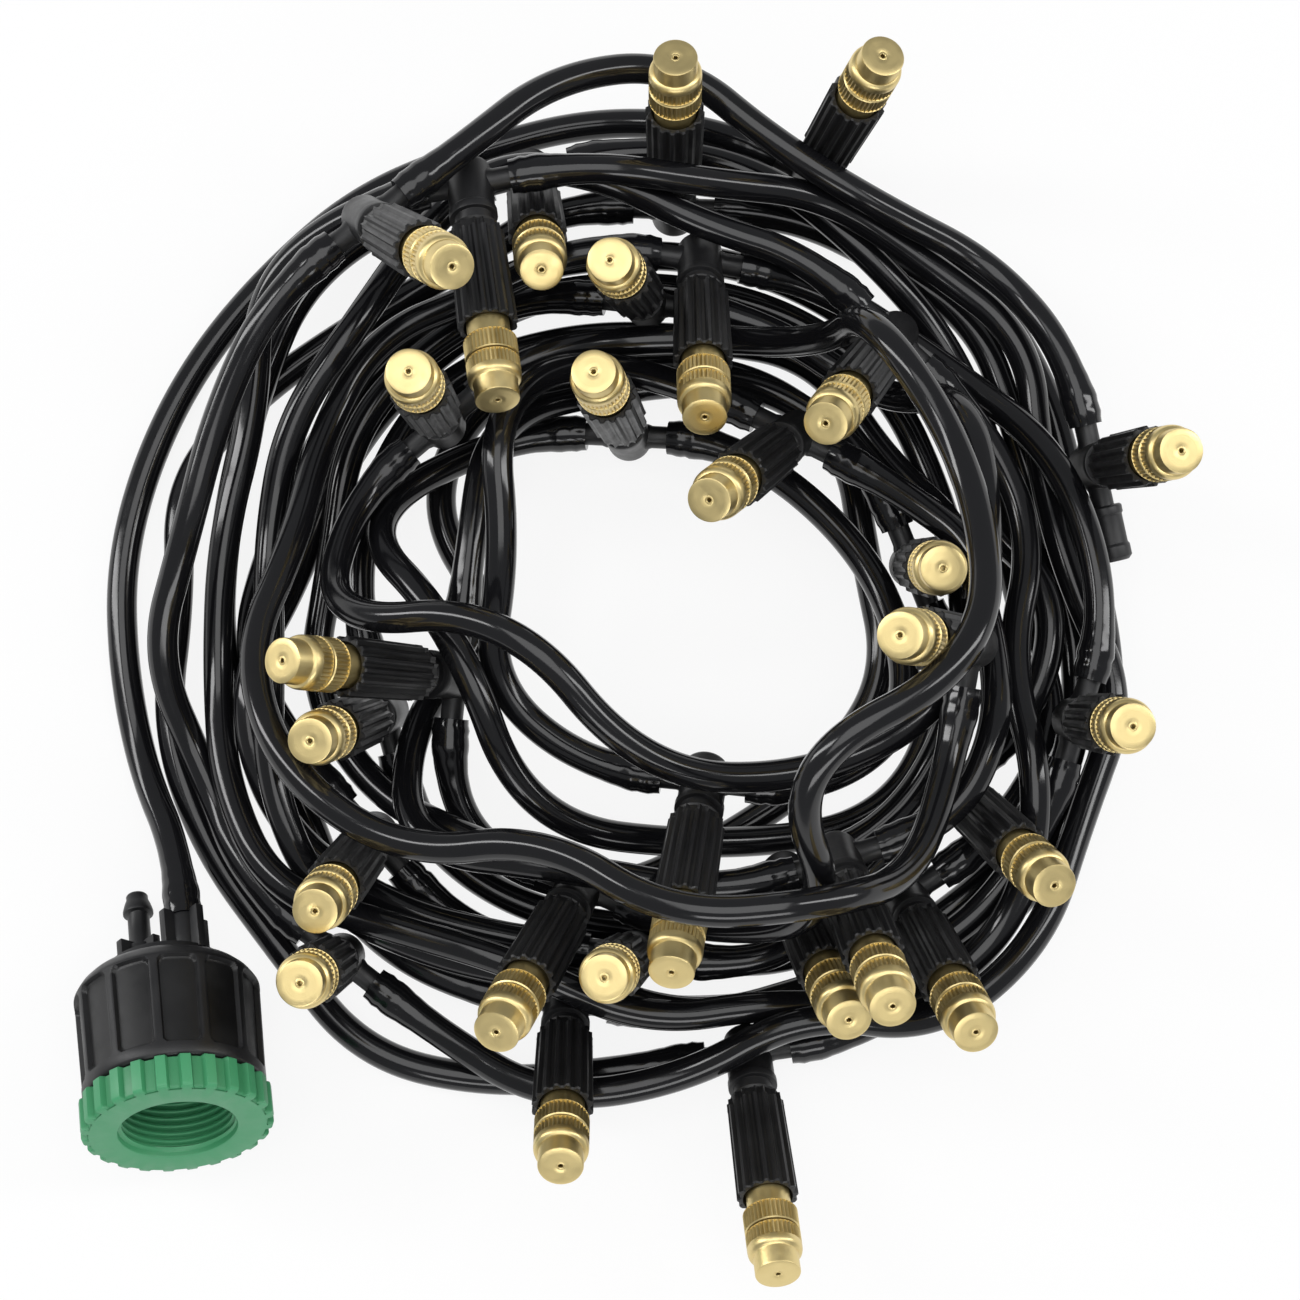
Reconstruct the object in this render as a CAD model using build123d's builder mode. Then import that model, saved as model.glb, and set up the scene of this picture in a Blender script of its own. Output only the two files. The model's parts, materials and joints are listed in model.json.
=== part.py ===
from build123d import *
import math
import os

import numpy as np

# A misting line: one 4/7 mm hose with 28 tees and brass nozzles, coiled on the floor, fed by a
# tap connector. Millimetres, +Z up, floor at Z = 0 while the coil is laid.

# ---- hose and tees ----
HOSE_R = 3.5
HOSE_BORE_R = 2.0
FIT = 0.05  # radial clearance of a plug in its socket
SPIGOT_R = HOSE_BORE_R - FIT
SPIGOT_LEN = 8.5
SPIGOT_PASSAGE_R = 1.1
ARM_REACH = 9.5  # tee centre to the shoulder that the hose end meets
ARM_R = 2.6
HEAD_R = 5.2
HEAD_BOTTOM = 5.0
HEAD_TOP = 10.0
HEAD_CHAMFER = 1.2
COLLAR_R = 5.5
COLLAR_LEN = 2.2
NECK_R = 4.4
NECK_GAP = 3.0  # neck left showing between head and holder
NECK_PLUG_LEN = 5.0
NECK_PASSAGE_R = 1.5
BULGE_R = 4.35  # hose end stretched over a barb

# ---- nozzles ----
HOLDER_BASE = HEAD_TOP + NECK_GAP
HOLDER_LEN = 27.0
HOLDER_TOP = HOLDER_BASE + HOLDER_LEN
HOLDER_R = 6.1
RIB_R = 6.75
RIB_WIDTH = 1.1
RIB_COUNT = 16
HOLDER_PASSAGE_R = 2.5
STEM_R = 4.8
STEM_SEAT = 5.0  # stem let into the holder
STEM_SHOWING = 4.0
STEM_PASSAGE_R = 1.4
KNURL_R = 6.0
KNURL_LEN = 5.2
SPINDLE_R = 3.6
SPINDLE_LEN = 7.4
SPINDLE_TIP_R = 2.6
SPINDLE_TIP_LEN = 1.4
SEAL_WIRE_R = 0.5
CAP_GAP = 0.4
CAP_RUNNING = 0.1
CAP_LEN = 10.4
CAP_SKIRT_LEN = 5.4
CAP_SHOULDER_LEN = 0.8
CAP_NOSE_R = 4.95
CAP_FACE = 2.4
ORIFICE_R = 0.5
EDGE = 0.35
END_CAP_LEN = 13.0
END_CAP_R = 4.2

KNURL_BASE = HOLDER_TOP + STEM_SHOWING
SPINDLE_BASE = KNURL_BASE + KNURL_LEN
CAP_BASE = SPINDLE_BASE + CAP_GAP
NOZZLE_TIP = CAP_BASE + CAP_LEN

# ---- tap connector, along its own axis: zero at the dome, spigots above, mouth below ----
DOME_R = 13.0
DOME_DROP = 9.0
SHOULDER_R = 20.0
SKIRT_R = 18.8
SHELL_LEN = 33.0
SHELL_WALL = 2.6
DOME_WALL = 4.0
BODY_RIBS = 12
BODY_RIB_WIDTH = 2.0
BODY_RIB_PROUD = 1.0
SOCKET_DEPTH = 14.0
SLEEVE_R = 16.4
SLEEVE_RUNNING = 0.1
CHAMBER_R = 12.0
BOSS_R = 3.5
BOSS_LEN = 8.0
BOSS_FIN = 8.6
BOSS_FIN_WIDTH = 1.6
SPARE_LEN = 13.8
SPARE_SHANK_R = 2.5
SPARE_BARB_R = 3.1
SPARE_LAND = 2.0
SPARE_BORE_R = 1.4
OUTLET_OFFSET_X = 5.7
OUTLET_OFFSET_Y = 5.3
RING_LEN = 8.0
RING_R = 20.0
RING_TEETH = 24
RING_TOOTH_WIDTH = 3.2
RING_TOOTH_PROUD = 1.3
RING_SEAT_GAP = 0.2
SLEEVE_LEN = 11.0
INLET_R = 12.1
INLET_LIP_R = 8.5
INLET_LIP = 2.0
WASHER_T = 2.0
WASHER_RECESS = 0.5

CONNECTOR_DOME = Vector(-108.5, -77.5, 16.6)
CONNECTOR_HEADING = -81.3
CONNECTOR_RISE = 21.0

# ---- the coil ----
START_ANGLE = 199.0
HOLE_CENTRE = np.array([6.6, 2.2])
HOLE_R = 52.0
RIM_CENTRE = np.array([-4.0, 11.0])
RIM_R = 118.0
TURNS_IN = 7.0  # rim to hole, on the floor
TURNS_HOLE = 2.0  # round the edge of the hole
TURNS_OUT = 7.5  # hole to rim, over the first turns
HOLE_TUCK = 0.03
HOSE_RUN = 27.0  # between points of a hose's route
HOSE_LEAD = 17.0  # straight hose beyond a tee's shoulder
LEAD_TURN = 0.045
LAY_GAP = 0.5
STEEPEST_HOSE = 0.30
ARM_SLOPE = 14.0
UPRIGHT = 40.0
WOBBLE = 1.2
LAY_STEP = 3.0
LAY_ROUNDS = 20
# rounds, sinking and homing in each round, tightest bend
SETTLING = (
    (60, 0.3, 0.05, 32),
    (60, 0.15, 0.03, 30),
    (60, 0.0, 0.02, 28),
    (120, 0.0, 0.0, 26),
    (60, 0.0, 0.0, 20),
)
SHORTEST_RUN = 12.0
OWN_LENGTH = 36.0
NEAR = 5.0

# number, turns from the start, place outside its ring, rise above the floor, heading, least height
STATIONS = [
    (2, 0.365, -8, 75, 30, 0),
    (24, 0.766, -8, 32, 276, 0),
    (1, 1.31, -4, 75, 90, 0),
    (23, 1.832, -6, 48, 270, 0),
    (5, 2.261, 8, 50, 276, 0),
    (27, 2.69, -8, 50, 283, 0),
    (18, 2.937, -1, 59, 267, 0),
    (28, 3.647, -7, 55, 300, 0),
    (21, 3.82, 0, 77, 246, 0),
    (26, 4.732, 1, 50, 287, 0),
    (17, 5.019, -8, 66, 246, 0),
    (25, 5.748, 8, 50, 283, 0),
    (16, 7.034, 0, 49, 207, 20),
    (13, 7.512, 6, 76, 279, 0),
    (7, 8.258, 6, 83, 195, 0),
    (20, 8.79, -3, 37, 261, 24),
    (10, 9.39, -5, 55, 234, 0),
    (8, 10.145, 0, 84, 234, 0),
    (22, 10.821, 2, 47, 246, 22),
    (6, 11.297, -5, 79, 228, 0),
    (14, 11.592, -7, 55, 231, 0),
    (9, 12.315, -6, 35, 282, 0),
    (15, 12.596, 4, 77, 291, 0),
    (11, 13.412, -8, 47, 255, 0),
    (4, 14.24, 0, 18, 270, 0),
    (19, 14.91, -4, 77, 255, 0),
    (3, 15.195, -8, 55, 309, 0),
    (12, 15.511, -7, 61, 300, 0),
]
SHIFTS_IN = (0, -2, 2, -4, 4, -6, 6, -8, 8, -10, 10)
SHIFTS_ALONG = (0, -6, 6, -12, 12, -18, 18)

STRAIGHT_REACH = ARM_REACH + HOSE_LEAD


def unit(vector):
    return vector / np.linalg.norm(vector)


def coil_fraction(turns):
    """Place across the coil: 0 at the hole, 1 at the rim."""
    if turns < TURNS_IN:
        return 1 - turns / TURNS_IN
    if turns < TURNS_IN + TURNS_HOLE:
        return -HOLE_TUCK
    return min(1.0, (turns - TURNS_IN - TURNS_HOLE) / TURNS_OUT)


def coil_ring(turns):
    """Centre, radius and outward direction of the coil at that many turns."""
    share = coil_fraction(turns)
    angle = math.radians(START_ANGLE - 360 * turns)
    centre = HOLE_CENTRE + (RIM_CENTRE - HOLE_CENTRE) * share
    return centre, HOLE_R + (RIM_R - HOLE_R) * share, np.array([math.cos(angle), math.sin(angle)])


def middle_of(point):
    """Centre of the ring of the coil that passes through a point."""
    share = (np.linalg.norm(point[:2] - HOLE_CENTRE) - HOLE_R) / (RIM_R - HOLE_R)
    return HOLE_CENTRE + (RIM_CENTRE - HOLE_CENTRE) * min(max(share, 0.0), 1.0)


def turns_of(length, turns):
    """Turns that a length of hose takes at that place of the coil."""
    return length / (2 * math.pi * coil_ring(turns)[1])


def hose_point(turns, shift):
    """A point of the route outside its ring, so that the hose's arcs lie on the ring."""
    centre, radius, out = coil_ring(turns)
    sway = math.sin(5.1 * turns) * math.sin(2.6 * math.pi * turns)
    sway += 0.6 * math.sin(4.34 * math.pi * turns + 1)
    spread = (radius + shift) / math.cos(math.pi * turns_of(HOSE_RUN, turns)) + WOBBLE * sway
    place = centre + spread * out
    return np.array([place[0], place[1], HOSE_R])


def rounded(points, step=4.0):
    """Shares of the route's points in spots along the hose, whose corners are rounded off."""
    runs = [np.linalg.norm(points[i + 1] - points[i]) for i in range(len(points) - 1)]
    cuts = [0.0] + [0.45 * min(pair) for pair in zip(runs, runs[1:])] + [0.0]
    rows = []
    for i, run in enumerate(runs):
        start, end = cuts[i] / run, 1 - cuts[i + 1] / run
        count = max(1, int((end - start) * run / step))
        rows += [((i, 1 - q), (i + 1, q)) for q in (start + (end - start) * j / count for j in range(count))]
        if i + 2 < len(points):
            beyond = cuts[i + 1] / runs[i + 1]
            cosine = float((points[i + 1] - points[i]) @ (points[i + 2] - points[i + 1])) / run / runs[i + 1]
            weight = math.sqrt((1 + max(-0.99, min(1.0, cosine))) / 2)
            count = max(2, int(2 * cuts[i + 1] / step))
            for q in (j / count for j in range(count)):
                first, middle, last = (1 - q) ** 2, 2 * q * (1 - q) * weight, q * q
                whole = first + middle + last
                shares = (first * (1 - end) / whole, last * beyond / whole)
                rows.append(((i, shares[0]), (i + 1, 1 - sum(shares)), (i + 2, shares[1])))
    rows.append(((len(points) - 1, 1.0),))
    table = np.zeros((len(rows), len(points)))
    for row, shares in enumerate(rows):
        for column, share in shares:
            table[row, column] += share
    return table


class Laid:
    """What lies on the floor already, as balls that touch everything's surface."""

    def __init__(self, centres=None, radii=None, owners=None, upright=None):
        self.centres = np.zeros((0, 3)) if centres is None else centres
        self.radii = np.zeros(0) if radii is None else radii
        self.owners = np.zeros(0) if owners is None else owners
        self.upright = np.zeros(0, bool) if upright is None else upright

    def plus(self, centres, radii, owner, upright):
        count = len(centres)
        return Laid(
            np.vstack([self.centres, centres]),
            np.append(self.radii, np.broadcast_to(radii, count)),
            np.append(self.owners, np.full(count, owner)),
            np.append(self.upright, np.broadcast_to(upright, count)),
        )

    def only(self, chosen):
        return Laid(self.centres[chosen], self.radii[chosen], self.owners[chosen], self.upright[chosen])

    def near(self, line, reach=26.0):
        nearest = np.full(len(self.centres), np.inf)
        for spot in line[::2]:
            nearest = np.minimum(nearest, ((self.centres[:, :2] - spot[:2]) ** 2).sum(axis=1))
        return self.only(nearest < reach**2)


def tee_frame(turns, rise, heading, shift_in, shift_along):
    """Plan place, arm direction and nozzle direction of a tee that sits on the coil."""
    radius = coil_ring(turns)[1]
    turns = turns + shift_along / (2 * math.pi * radius)
    centre, radius, out = coil_ring(turns)
    radius += shift_in
    place = centre + (radius - STRAIGHT_REACH**2 / (4 * radius)) * out
    onward = np.array([out[1], -out[0], 0.0])
    tilt, aim = math.radians(rise), math.radians(heading)
    nozzle = np.array([math.cos(tilt) * math.cos(aim), math.cos(tilt) * math.sin(aim), math.sin(tilt)])
    along = float(nozzle @ onward)
    most = math.sin(math.radians(ARM_SLOPE))
    if abs(along) > most:
        across = unit(nozzle - along * onward)
        along = math.copysign(most, along)
        nozzle = along * onward + math.sqrt(1 - along**2) * across
    return place, unit(onward - along * nozzle), nozzle


def tee_balls(arm, nozzle):
    """Balls along a tee's nozzle and along the hose ends on its arms, about its own centre."""
    along_nozzle = [(reach, HEAD_R + 0.5) for reach in (-1.6, 2, 5, 8, 10)]
    along_nozzle += [(reach, RIB_R + 0.2) for reach in (14, 18, 22, 26, 30, 34, 38.5)]
    along_nozzle += [(reach, KNURL_R + 0.15) for reach in (43, 46, 49, 52, 54.2)]
    along_nozzle += [(57, 5.3), (59, 5.1)]
    along_arm = [(6, 4.5), (10, BULGE_R), (13, BULGE_R), (16, BULGE_R)]
    along_arm += [(reach, HOSE_R) for reach in (19, 22.5, 26)]
    centres = [reach * nozzle for reach, _ in along_nozzle]
    centres += [side * reach * arm for side in (-1, 1) for reach, _ in along_arm]
    radii = [radius for _, radius in along_nozzle] + [radius for _, radius in along_arm] * 2
    return np.array(centres), np.array(radii), len(along_nozzle)


def settled_height(place, arm, nozzle, least, laid):
    """Lowest height at which a tee clears the floor and all that is laid."""
    centres, radii, _ = tee_balls(arm, nozzle)
    beyond = [side * reach * arm for side in (-1, 1) for reach in (30, 34)]
    centres = np.vstack([centres, beyond]) + [place[0], place[1], 0]
    radii = np.append(radii, [HOSE_R] * len(beyond))
    height = max(5.6, least, float(np.max(radii - centres[:, 2])) + 0.05)
    near = laid.only(((laid.centres[:, :2] - place) ** 2).sum(axis=1) < 85.0**2)
    apart = ((centres[:, None, :2] - near.centres[None, :, :2]) ** 2).sum(axis=2)
    reach = radii[:, None] + near.radii[None] + LAY_GAP
    mine, theirs = np.where(apart < reach**2)
    half = np.sqrt(reach[mine, theirs] ** 2 - apart[mine, theirs])
    level = near.centres[theirs, 2] - centres[mine, 2]
    for q in np.argsort(level - half):
        if level[q] - half[q] < height < level[q] + half[q]:
            height = level[q] + half[q] + 0.01
    return height


def relax(points, first, last, laid, start_tee):
    """Lift the points first..last-1 over what is laid, and push them aside from upright nozzles."""
    start = (laid.owners == start_tee) & ~laid.upright
    for _ in range(LAY_ROUNDS):
        table = rounded(points)
        line, places = table @ points, table @ np.arange(len(points))
        live = (places > first - 1) & (places < min(last, len(points) - 1) + 0.001)
        spots, ranks = line[live], places[live]
        every = laid.plus(line, HOSE_R, -1, False)
        seen = np.ones((len(spots), len(every.centres)), bool)
        seen[:, len(laid.centres) :] = places[None] < ranks[:, None] - 3
        seen[np.ix_(ranks < 2.2, np.append(start, np.zeros(len(line), bool)))] = False
        apart = ((spots[:, None, :2] - every.centres[None, :, :2]) ** 2).sum(axis=2)
        reach = HOSE_R + every.radii[None] + LAY_GAP
        mine, theirs = np.where((apart < reach**2) & seen)
        reach, apart = reach[0, theirs], apart[mine, theirs]
        above = every.centres[theirs, 2] - spots[mine, 2]
        hit = reach**2 - apart - above**2 > 0
        mine, theirs, reach, apart, above = (v[hit] for v in (mine, theirs, reach, apart, above))
        rise = np.maximum(HOSE_R - spots[:, 2], 0)
        aside = np.zeros(len(spots))
        stands = every.upright[theirs]
        over = above + np.sqrt(np.maximum(reach**2 - apart, 0))
        np.maximum.at(rise, mine[~stands], over[~stands])
        for i, j, room, gap, height in zip(*(v[stands] for v in (mine, theirs, reach, apart, above))):
            middle = middle_of(spots[i])
            offset = np.linalg.norm(spots[i, :2] - middle) - np.linalg.norm(every.centres[j, :2] - middle)
            side = 1 if offset >= 0 else -1
            sideways = max(gap - offset**2, 0)
            push = side * math.sqrt(max(room**2 - height**2 - sideways, 0)) - offset
            if abs(push) > abs(aside[i]):
                aside[i] = push
        if max(rise.max(), np.abs(aside).max()) < 0.03:
            break
        lifts, pushes = np.zeros(len(points)), np.zeros(len(points))
        for spot in np.where((rise > 0) | (aside != 0))[0]:
            corner = int(min(max(math.floor(ranks[spot]), 0), len(points) - 2))
            share = ranks[spot] - corner
            for i, weight in ((corner, 1 - share), (corner + 1, share)):
                if first <= i < last:
                    weight = 1.02 * max(weight, 0.15)
                    lifts[i] = max(lifts[i], rise[spot] * weight)
                    if abs(aside[spot] * weight) > abs(pushes[i]):
                        pushes[i] = aside[spot] * weight
        for i in range(first, last):
            points[i, 2] += lifts[i]
            points[i, :2] += unit(points[i, :2] - middle_of(points[i])) * pushes[i]
        for i in range(first, last):
            for beside in (i - 1, min(i + 1, len(points) - 1)):
                drop = STEEPEST_HOSE * np.linalg.norm(points[i, :2] - points[beside, :2])
                points[i, 2] = max(points[i, 2], points[beside, 2] - drop)
        points[first:last] = np.round(points[first:last], 4)


def run_in(radius):
    """Turns that the run beyond a tee's straight hose takes."""
    return max(17.5, min(30.0, 0.3 * radius)) / (2 * math.pi * radius)


def lay_coil(lead):
    """Lay the hose from the connector, tee by tee: a frame for each tee and a route for each hose."""
    laid = Laid()
    tees, routes = [], []
    turns_0, shift_0 = LEAD_TURN, 0.0
    for number, turns, outside, rise, heading, least in STATIONS:
        if tees:
            origin, arm, _ = tees[-1][1:]
            route = [origin + arm * ARM_REACH, origin + arm * (ARM_REACH + HOSE_LEAD)]
            radius = coil_ring(turns_0)[1] + shift_0
            start = turns_0 + math.atan(STRAIGHT_REACH / radius) / (2 * math.pi) + run_in(radius)
            start_tee = tees[-1][0]
        else:
            route, start, start_tee = [np.array(point) for point in lead], turns_0, 0
        begin, at = len(route), start
        while at < turns - 0.4:
            route.append(hose_point(at, shift_0 * max(0, 1 - (at - turns_0) / 0.3)))
            at += turns_of(HOSE_RUN, at)
        middle = len(route)
        before = laid
        if middle > begin:
            points = np.array(route)
            relax(points, begin, middle, laid.near(rounded(points) @ points), start_tee)
            route = list(points)
            line = rounded(points) @ points
            before = laid.plus(line, HOSE_R, -1, False)
        best = None
        for shift_in in SHIFTS_IN:
            for shift_along in SHIFTS_ALONG:
                frame = tee_frame(turns, rise, heading, outside + shift_in, shift_along)
                height = settled_height(*frame, least, before)
                cost = height + 0.45 * abs(shift_in) + 0.25 * abs(shift_along)
                if best is None or cost < best[0] - 1e-9:
                    best = (cost, shift_in, shift_along, height, frame)
        _, shift_in, shift_along, height, (place, arm, nozzle) = best
        shift_in += outside
        origin = np.array([place[0], place[1], height])
        turns_1 = turns + shift_along / (2 * math.pi * coil_ring(turns)[1])
        radius = coil_ring(turns_1)[1] + shift_in
        end = turns_1 - math.atan(STRAIGHT_REACH / radius) / (2 * math.pi) - run_in(radius)
        step = turns_of(HOSE_RUN, turns_1)
        base = at - turns_of(HOSE_RUN, at) if middle > begin else start
        count = max(1, round((end - base) / step))
        stops = [base + (end - base) * i / count for i in range(0 if middle == begin else 1, count + 1)]
        if middle == begin and end - start < 0.25 * step:
            stops = [(start + end) / 2]
        for stop in stops:
            before_share = max(0, 1 - (stop - turns_0) / 0.3)
            after_share = min(max(1 - (turns_1 - stop) / 0.3, 0), 1)
            route.append(hose_point(stop, shift_0 * before_share + shift_in * after_share))
        last = len(route)
        route += [origin - arm * (ARM_REACH + HOSE_LEAD), origin - arm * ARM_REACH]
        points = np.array(route)
        relax(points, middle, last, laid.near(rounded(points) @ points), start_tee)
        line = rounded(points, LAY_STEP) @ points
        centres, radii, on_nozzle = tee_balls(arm, nozzle)
        upright = np.zeros(len(line) + len(centres), bool)
        if nozzle[2] >= math.sin(math.radians(UPRIGHT)):
            upright[len(line) + 3 : len(line) + on_nozzle] = True
        balls = np.vstack([line, centres + origin])
        laid = laid.plus(balls, np.append(np.full(len(line), HOSE_R), radii), number, upright)
        tees.append((number, origin, arm, nozzle))
        routes.append(points)
        turns_0, shift_0 = turns_1, shift_in
    return tees, routes


def unbend(points, tightest):
    """How far each point of a route must go so that no corner bends too tightly."""
    before, corner, after = points[:-2], points[1:-1], points[2:]
    one, two = np.linalg.norm(corner - before, axis=1), np.linalg.norm(after - corner, axis=1)
    share = (two / (one + two))[:, None]
    bow = corner - share * before - (1 - share) * after
    most = 0.9 * np.minimum(one, two) * one * two / (one + two) / tightest
    length = np.linalg.norm(bow, axis=1) + 1e-9
    over = bow * np.maximum(0, 1 - most / length)[:, None] / (1 + share**2 + (1 - share) ** 2)
    moves = np.zeros_like(points)
    moves[1:-1] -= over
    moves[:-2] += share * over
    moves[2:] += (1 - share) * over
    onward = (after - before) / np.linalg.norm(after - before, axis=1)[:, None]
    uneven = ((corner - (before + after) / 2) * onward).sum(axis=1)[:, None]
    moves[1:-1] -= 0.04 * uneven * onward
    return moves


def respaced(route):
    """The route without free points that crowd a neighbour."""
    points = list(route)
    i = 2
    while i < len(points) - 2:
        runs = [np.linalg.norm(points[i + side] - points[i]) for side in (-1, 1)]
        if min(runs) < SHORTEST_RUN and len(points) > 5:
            del points[i]
        else:
            i += 1
    return np.array(points)


def settle(tees, routes, fixed_centres, fixed_radii, rounds, sink, homing, tightest):
    """Let the whole coil sink together until nothing touches and no hose bends too tightly."""
    frees = [len(route) - 4 for route in routes]
    state = np.vstack([np.zeros((1, 3))] + [tee[1] for tee in tees] + [route[2:-2] for route in routes])
    least = np.full((len(state), 3), [-math.inf, -math.inf, HOSE_R])
    least[0] = 0
    owns, fixes, homes = [], [], []
    for k, (tee, route) in enumerate(zip(tees, routes)):
        balls, radii, _ = tee_balls(tee[2], tee[3])
        _, turns, outside, rise, heading, held = STATIONS[k]
        homes.append(tee_frame(turns, rise, heading, outside, 0)[0])
        lowest = HEAD_BOTTOM * tee[3][2] + HEAD_R * math.sqrt(1 - tee[3][2] ** 2)
        least[k + 1, 2] = max(held, lowest, float(np.max(radii - balls[:, 2]))) + 0.05
        first = 1 + len(tees) + sum(frees[:k])
        own, fix = np.zeros((len(route), len(state))), np.zeros((len(route), 3))
        own[2:-2, first : first + frees[k]] = np.eye(frees[k])
        own[:2, k] = 1
        own[-2:, k + 1] = 1
        fix[:2] = route[:2] - state[k]
        fix[-2:] = route[-2:] - state[k + 1]
        owns.append(own)
        fixes.append(fix)
    for turn in range(rounds):
        if turn % 12 == 0:
            tables, shifts = [np.zeros((len(fixed_centres), len(state)))], [fixed_centres]
            tables[0][:, 0] = 1
            radii, along, travelled = [fixed_radii], [np.full(len(fixed_centres), -20.0)], 0.0
            for k, tee in enumerate(tees):
                points = owns[k] @ state + fixes[k]
                table = rounded(points, LAY_STEP)
                steps = np.linalg.norm(np.diff(table @ points, axis=0), axis=1)
                along.append(travelled + np.append(0.0, np.cumsum(steps)))
                travelled = along[-1][-1] + ARM_REACH
                balls, sizes, _ = tee_balls(tee[2], tee[3])
                tables += [table @ owns[k], np.zeros((len(balls), len(state)))]
                tables[-1][:, k + 1] = 1
                shifts += [table @ fixes[k], balls]
                radii += [np.full(len(table), HOSE_R), sizes]
                along.append(np.full(len(balls), travelled))
                travelled += ARM_REACH
            table, shift, size, place = (np.concatenate(v) for v in (tables, shifts, radii, along))
            centres = table @ state + shift
            squares = (centres**2).sum(axis=1)
            apart = squares[:, None] + squares[None] - 2 * centres @ centres.T
            close = apart < (size[:, None] + size[None] + LAY_GAP + NEAR) ** 2
            close &= np.abs(place[:, None] - place[None]) > OWN_LENGTH
            one, two = np.where(np.triu(close, 1))
            reach = size[one] + size[two] + LAY_GAP
            shares = np.where(table > 0.12, table, 0)
        state[1:, 2] -= sink
        centres = table @ state + shift
        gap = centres[one] - centres[two]
        apart = np.linalg.norm(gap, axis=1)
        hit = apart < reach
        push = 0.5 * gap[hit] * (reach[hit] / apart[hit] - 1)[:, None]
        pushes = np.zeros((len(centres), 4))
        np.add.at(pushes, one[hit], np.column_stack([push, np.ones(len(push))]))
        np.add.at(pushes, two[hit], np.column_stack([-push, np.ones(len(push))]))
        moved = shares.T @ pushes
        moved = moved[:, :3] / np.maximum(moved[:, 3:], 0.3)
        for own, fix in zip(owns, fixes):
            points = own @ state + fix
            onward = points[3:-1] - points[1:-3]
            onward /= np.linalg.norm(onward, axis=1)[:, None]
            aside = (own @ moved)[2:-2]
            moved -= own[2:-2].T @ ((aside * onward).sum(axis=1)[:, None] * onward)
            moves = unbend(points, tightest)
            moves[[0, 1, -2, -1]] = 0
            moved += own.T @ moves
        state[1:] += moved[1:]
        state = np.round(np.maximum(state, least), 4)
        state[1 : len(tees) + 1, :2] += homing * (np.array(homes) - state[1 : len(tees) + 1, :2])
    print(f"deepest overlap of the laid balls {float((reach - apart).max()) - LAY_GAP:.2f} mm")
    for k, tee in enumerate(tees):
        tees[k] = (tee[0], state[k + 1], tee[2], tee[3])
    return tees, [own @ state + fix for own, fix in zip(owns, fixes)]


# ---- where the connector stands ----
rise, aim = math.radians(CONNECTOR_RISE), math.radians(CONNECTOR_HEADING)
connector_up = -Vector(math.cos(rise) * math.cos(aim), math.cos(rise) * math.sin(aim), math.sin(rise))
connector = Plane(CONNECTOR_DOME, x_dir=Vector(-math.sin(aim), math.cos(aim), 0), z_dir=connector_up)
hose_exit = connector.from_local_coords(Vector(OUTLET_OFFSET_X, -OUTLET_OFFSET_Y, BOSS_LEN))
lead_route = [
    tuple(hose_exit),
    tuple(hose_exit + connector_up * HOSE_LEAD),
    (-111.5, -33.5, 7.6),
    (-117.0, -15.0, 4.4),
]
body_balls = [(-2, 13.0), (-8, 16.0), (-14, 20.5), (-20, 20.8), (-26, 20.8), (-32, 21.0), (-38, 21.3)]
body_spots = np.array([tuple(CONNECTOR_DOME + connector_up * reach) for reach, _ in body_balls])
tees, routes = lay_coil(lead_route)
body_radii = np.array([radius for _, radius in body_balls])
for stage in SETTLING:
    routes = [respaced(route) for route in routes]
    tees, routes = settle(tees, routes, body_spots, body_radii, *stage)
planes = {n: Plane(tuple(origin), x_dir=tuple(arm), z_dir=tuple(nozzle)) for n, origin, arm, nozzle in tees}

lowest_radius = math.inf
for route in routes:
    for before, corner, after in zip(route, route[1:], route[2:]):
        turn = Vector(*(corner - before)).get_angle(Vector(*(after - corner)))
        run = min(np.linalg.norm(corner - before), np.linalg.norm(after - corner))
        lowest_radius = min(lowest_radius, 0.45 * run / math.tan(math.radians(turn) / 2))
print(f"smallest bend radius of the hose {lowest_radius:.1f} mm")

# ---- tee: head, two arms and the neck that plugs into the holder; Z is the nozzle's axis ----
with BuildPart() as tee:
    with BuildSketch(Plane.XY.offset(-HEAD_BOTTOM)):
        Circle(HEAD_R)
    extrude(amount=HEAD_BOTTOM + HEAD_TOP)
    chamfer(tee.edges().sort_by(Axis.Z)[0], length=HEAD_CHAMFER)
    with BuildSketch(Plane.XY.offset(HEAD_TOP - COLLAR_LEN)):
        Circle(COLLAR_R)
    extrude(amount=COLLAR_LEN)
    with BuildSketch(Plane.XY.offset(HEAD_TOP)):
        Circle(NECK_R)
    extrude(amount=NECK_GAP + NECK_PLUG_LEN)
    with BuildSketch(Plane.YZ.offset(-ARM_REACH)):
        Circle(ARM_R)
    extrude(amount=2 * ARM_REACH)
    with BuildSketch(Plane.YZ.offset(-ARM_REACH - SPIGOT_LEN)):
        Circle(SPIGOT_R)
    extrude(amount=2 * (ARM_REACH + SPIGOT_LEN))
    with BuildSketch(Plane.YZ.offset(-ARM_REACH - SPIGOT_LEN)):
        Circle(SPIGOT_PASSAGE_R)
    extrude(amount=2 * (ARM_REACH + SPIGOT_LEN), mode=Mode.SUBTRACT)
    with BuildSketch(Plane.XY):
        Circle(NECK_PASSAGE_R)
    extrude(amount=HOLDER_BASE + NECK_PLUG_LEN, mode=Mode.SUBTRACT)

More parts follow.
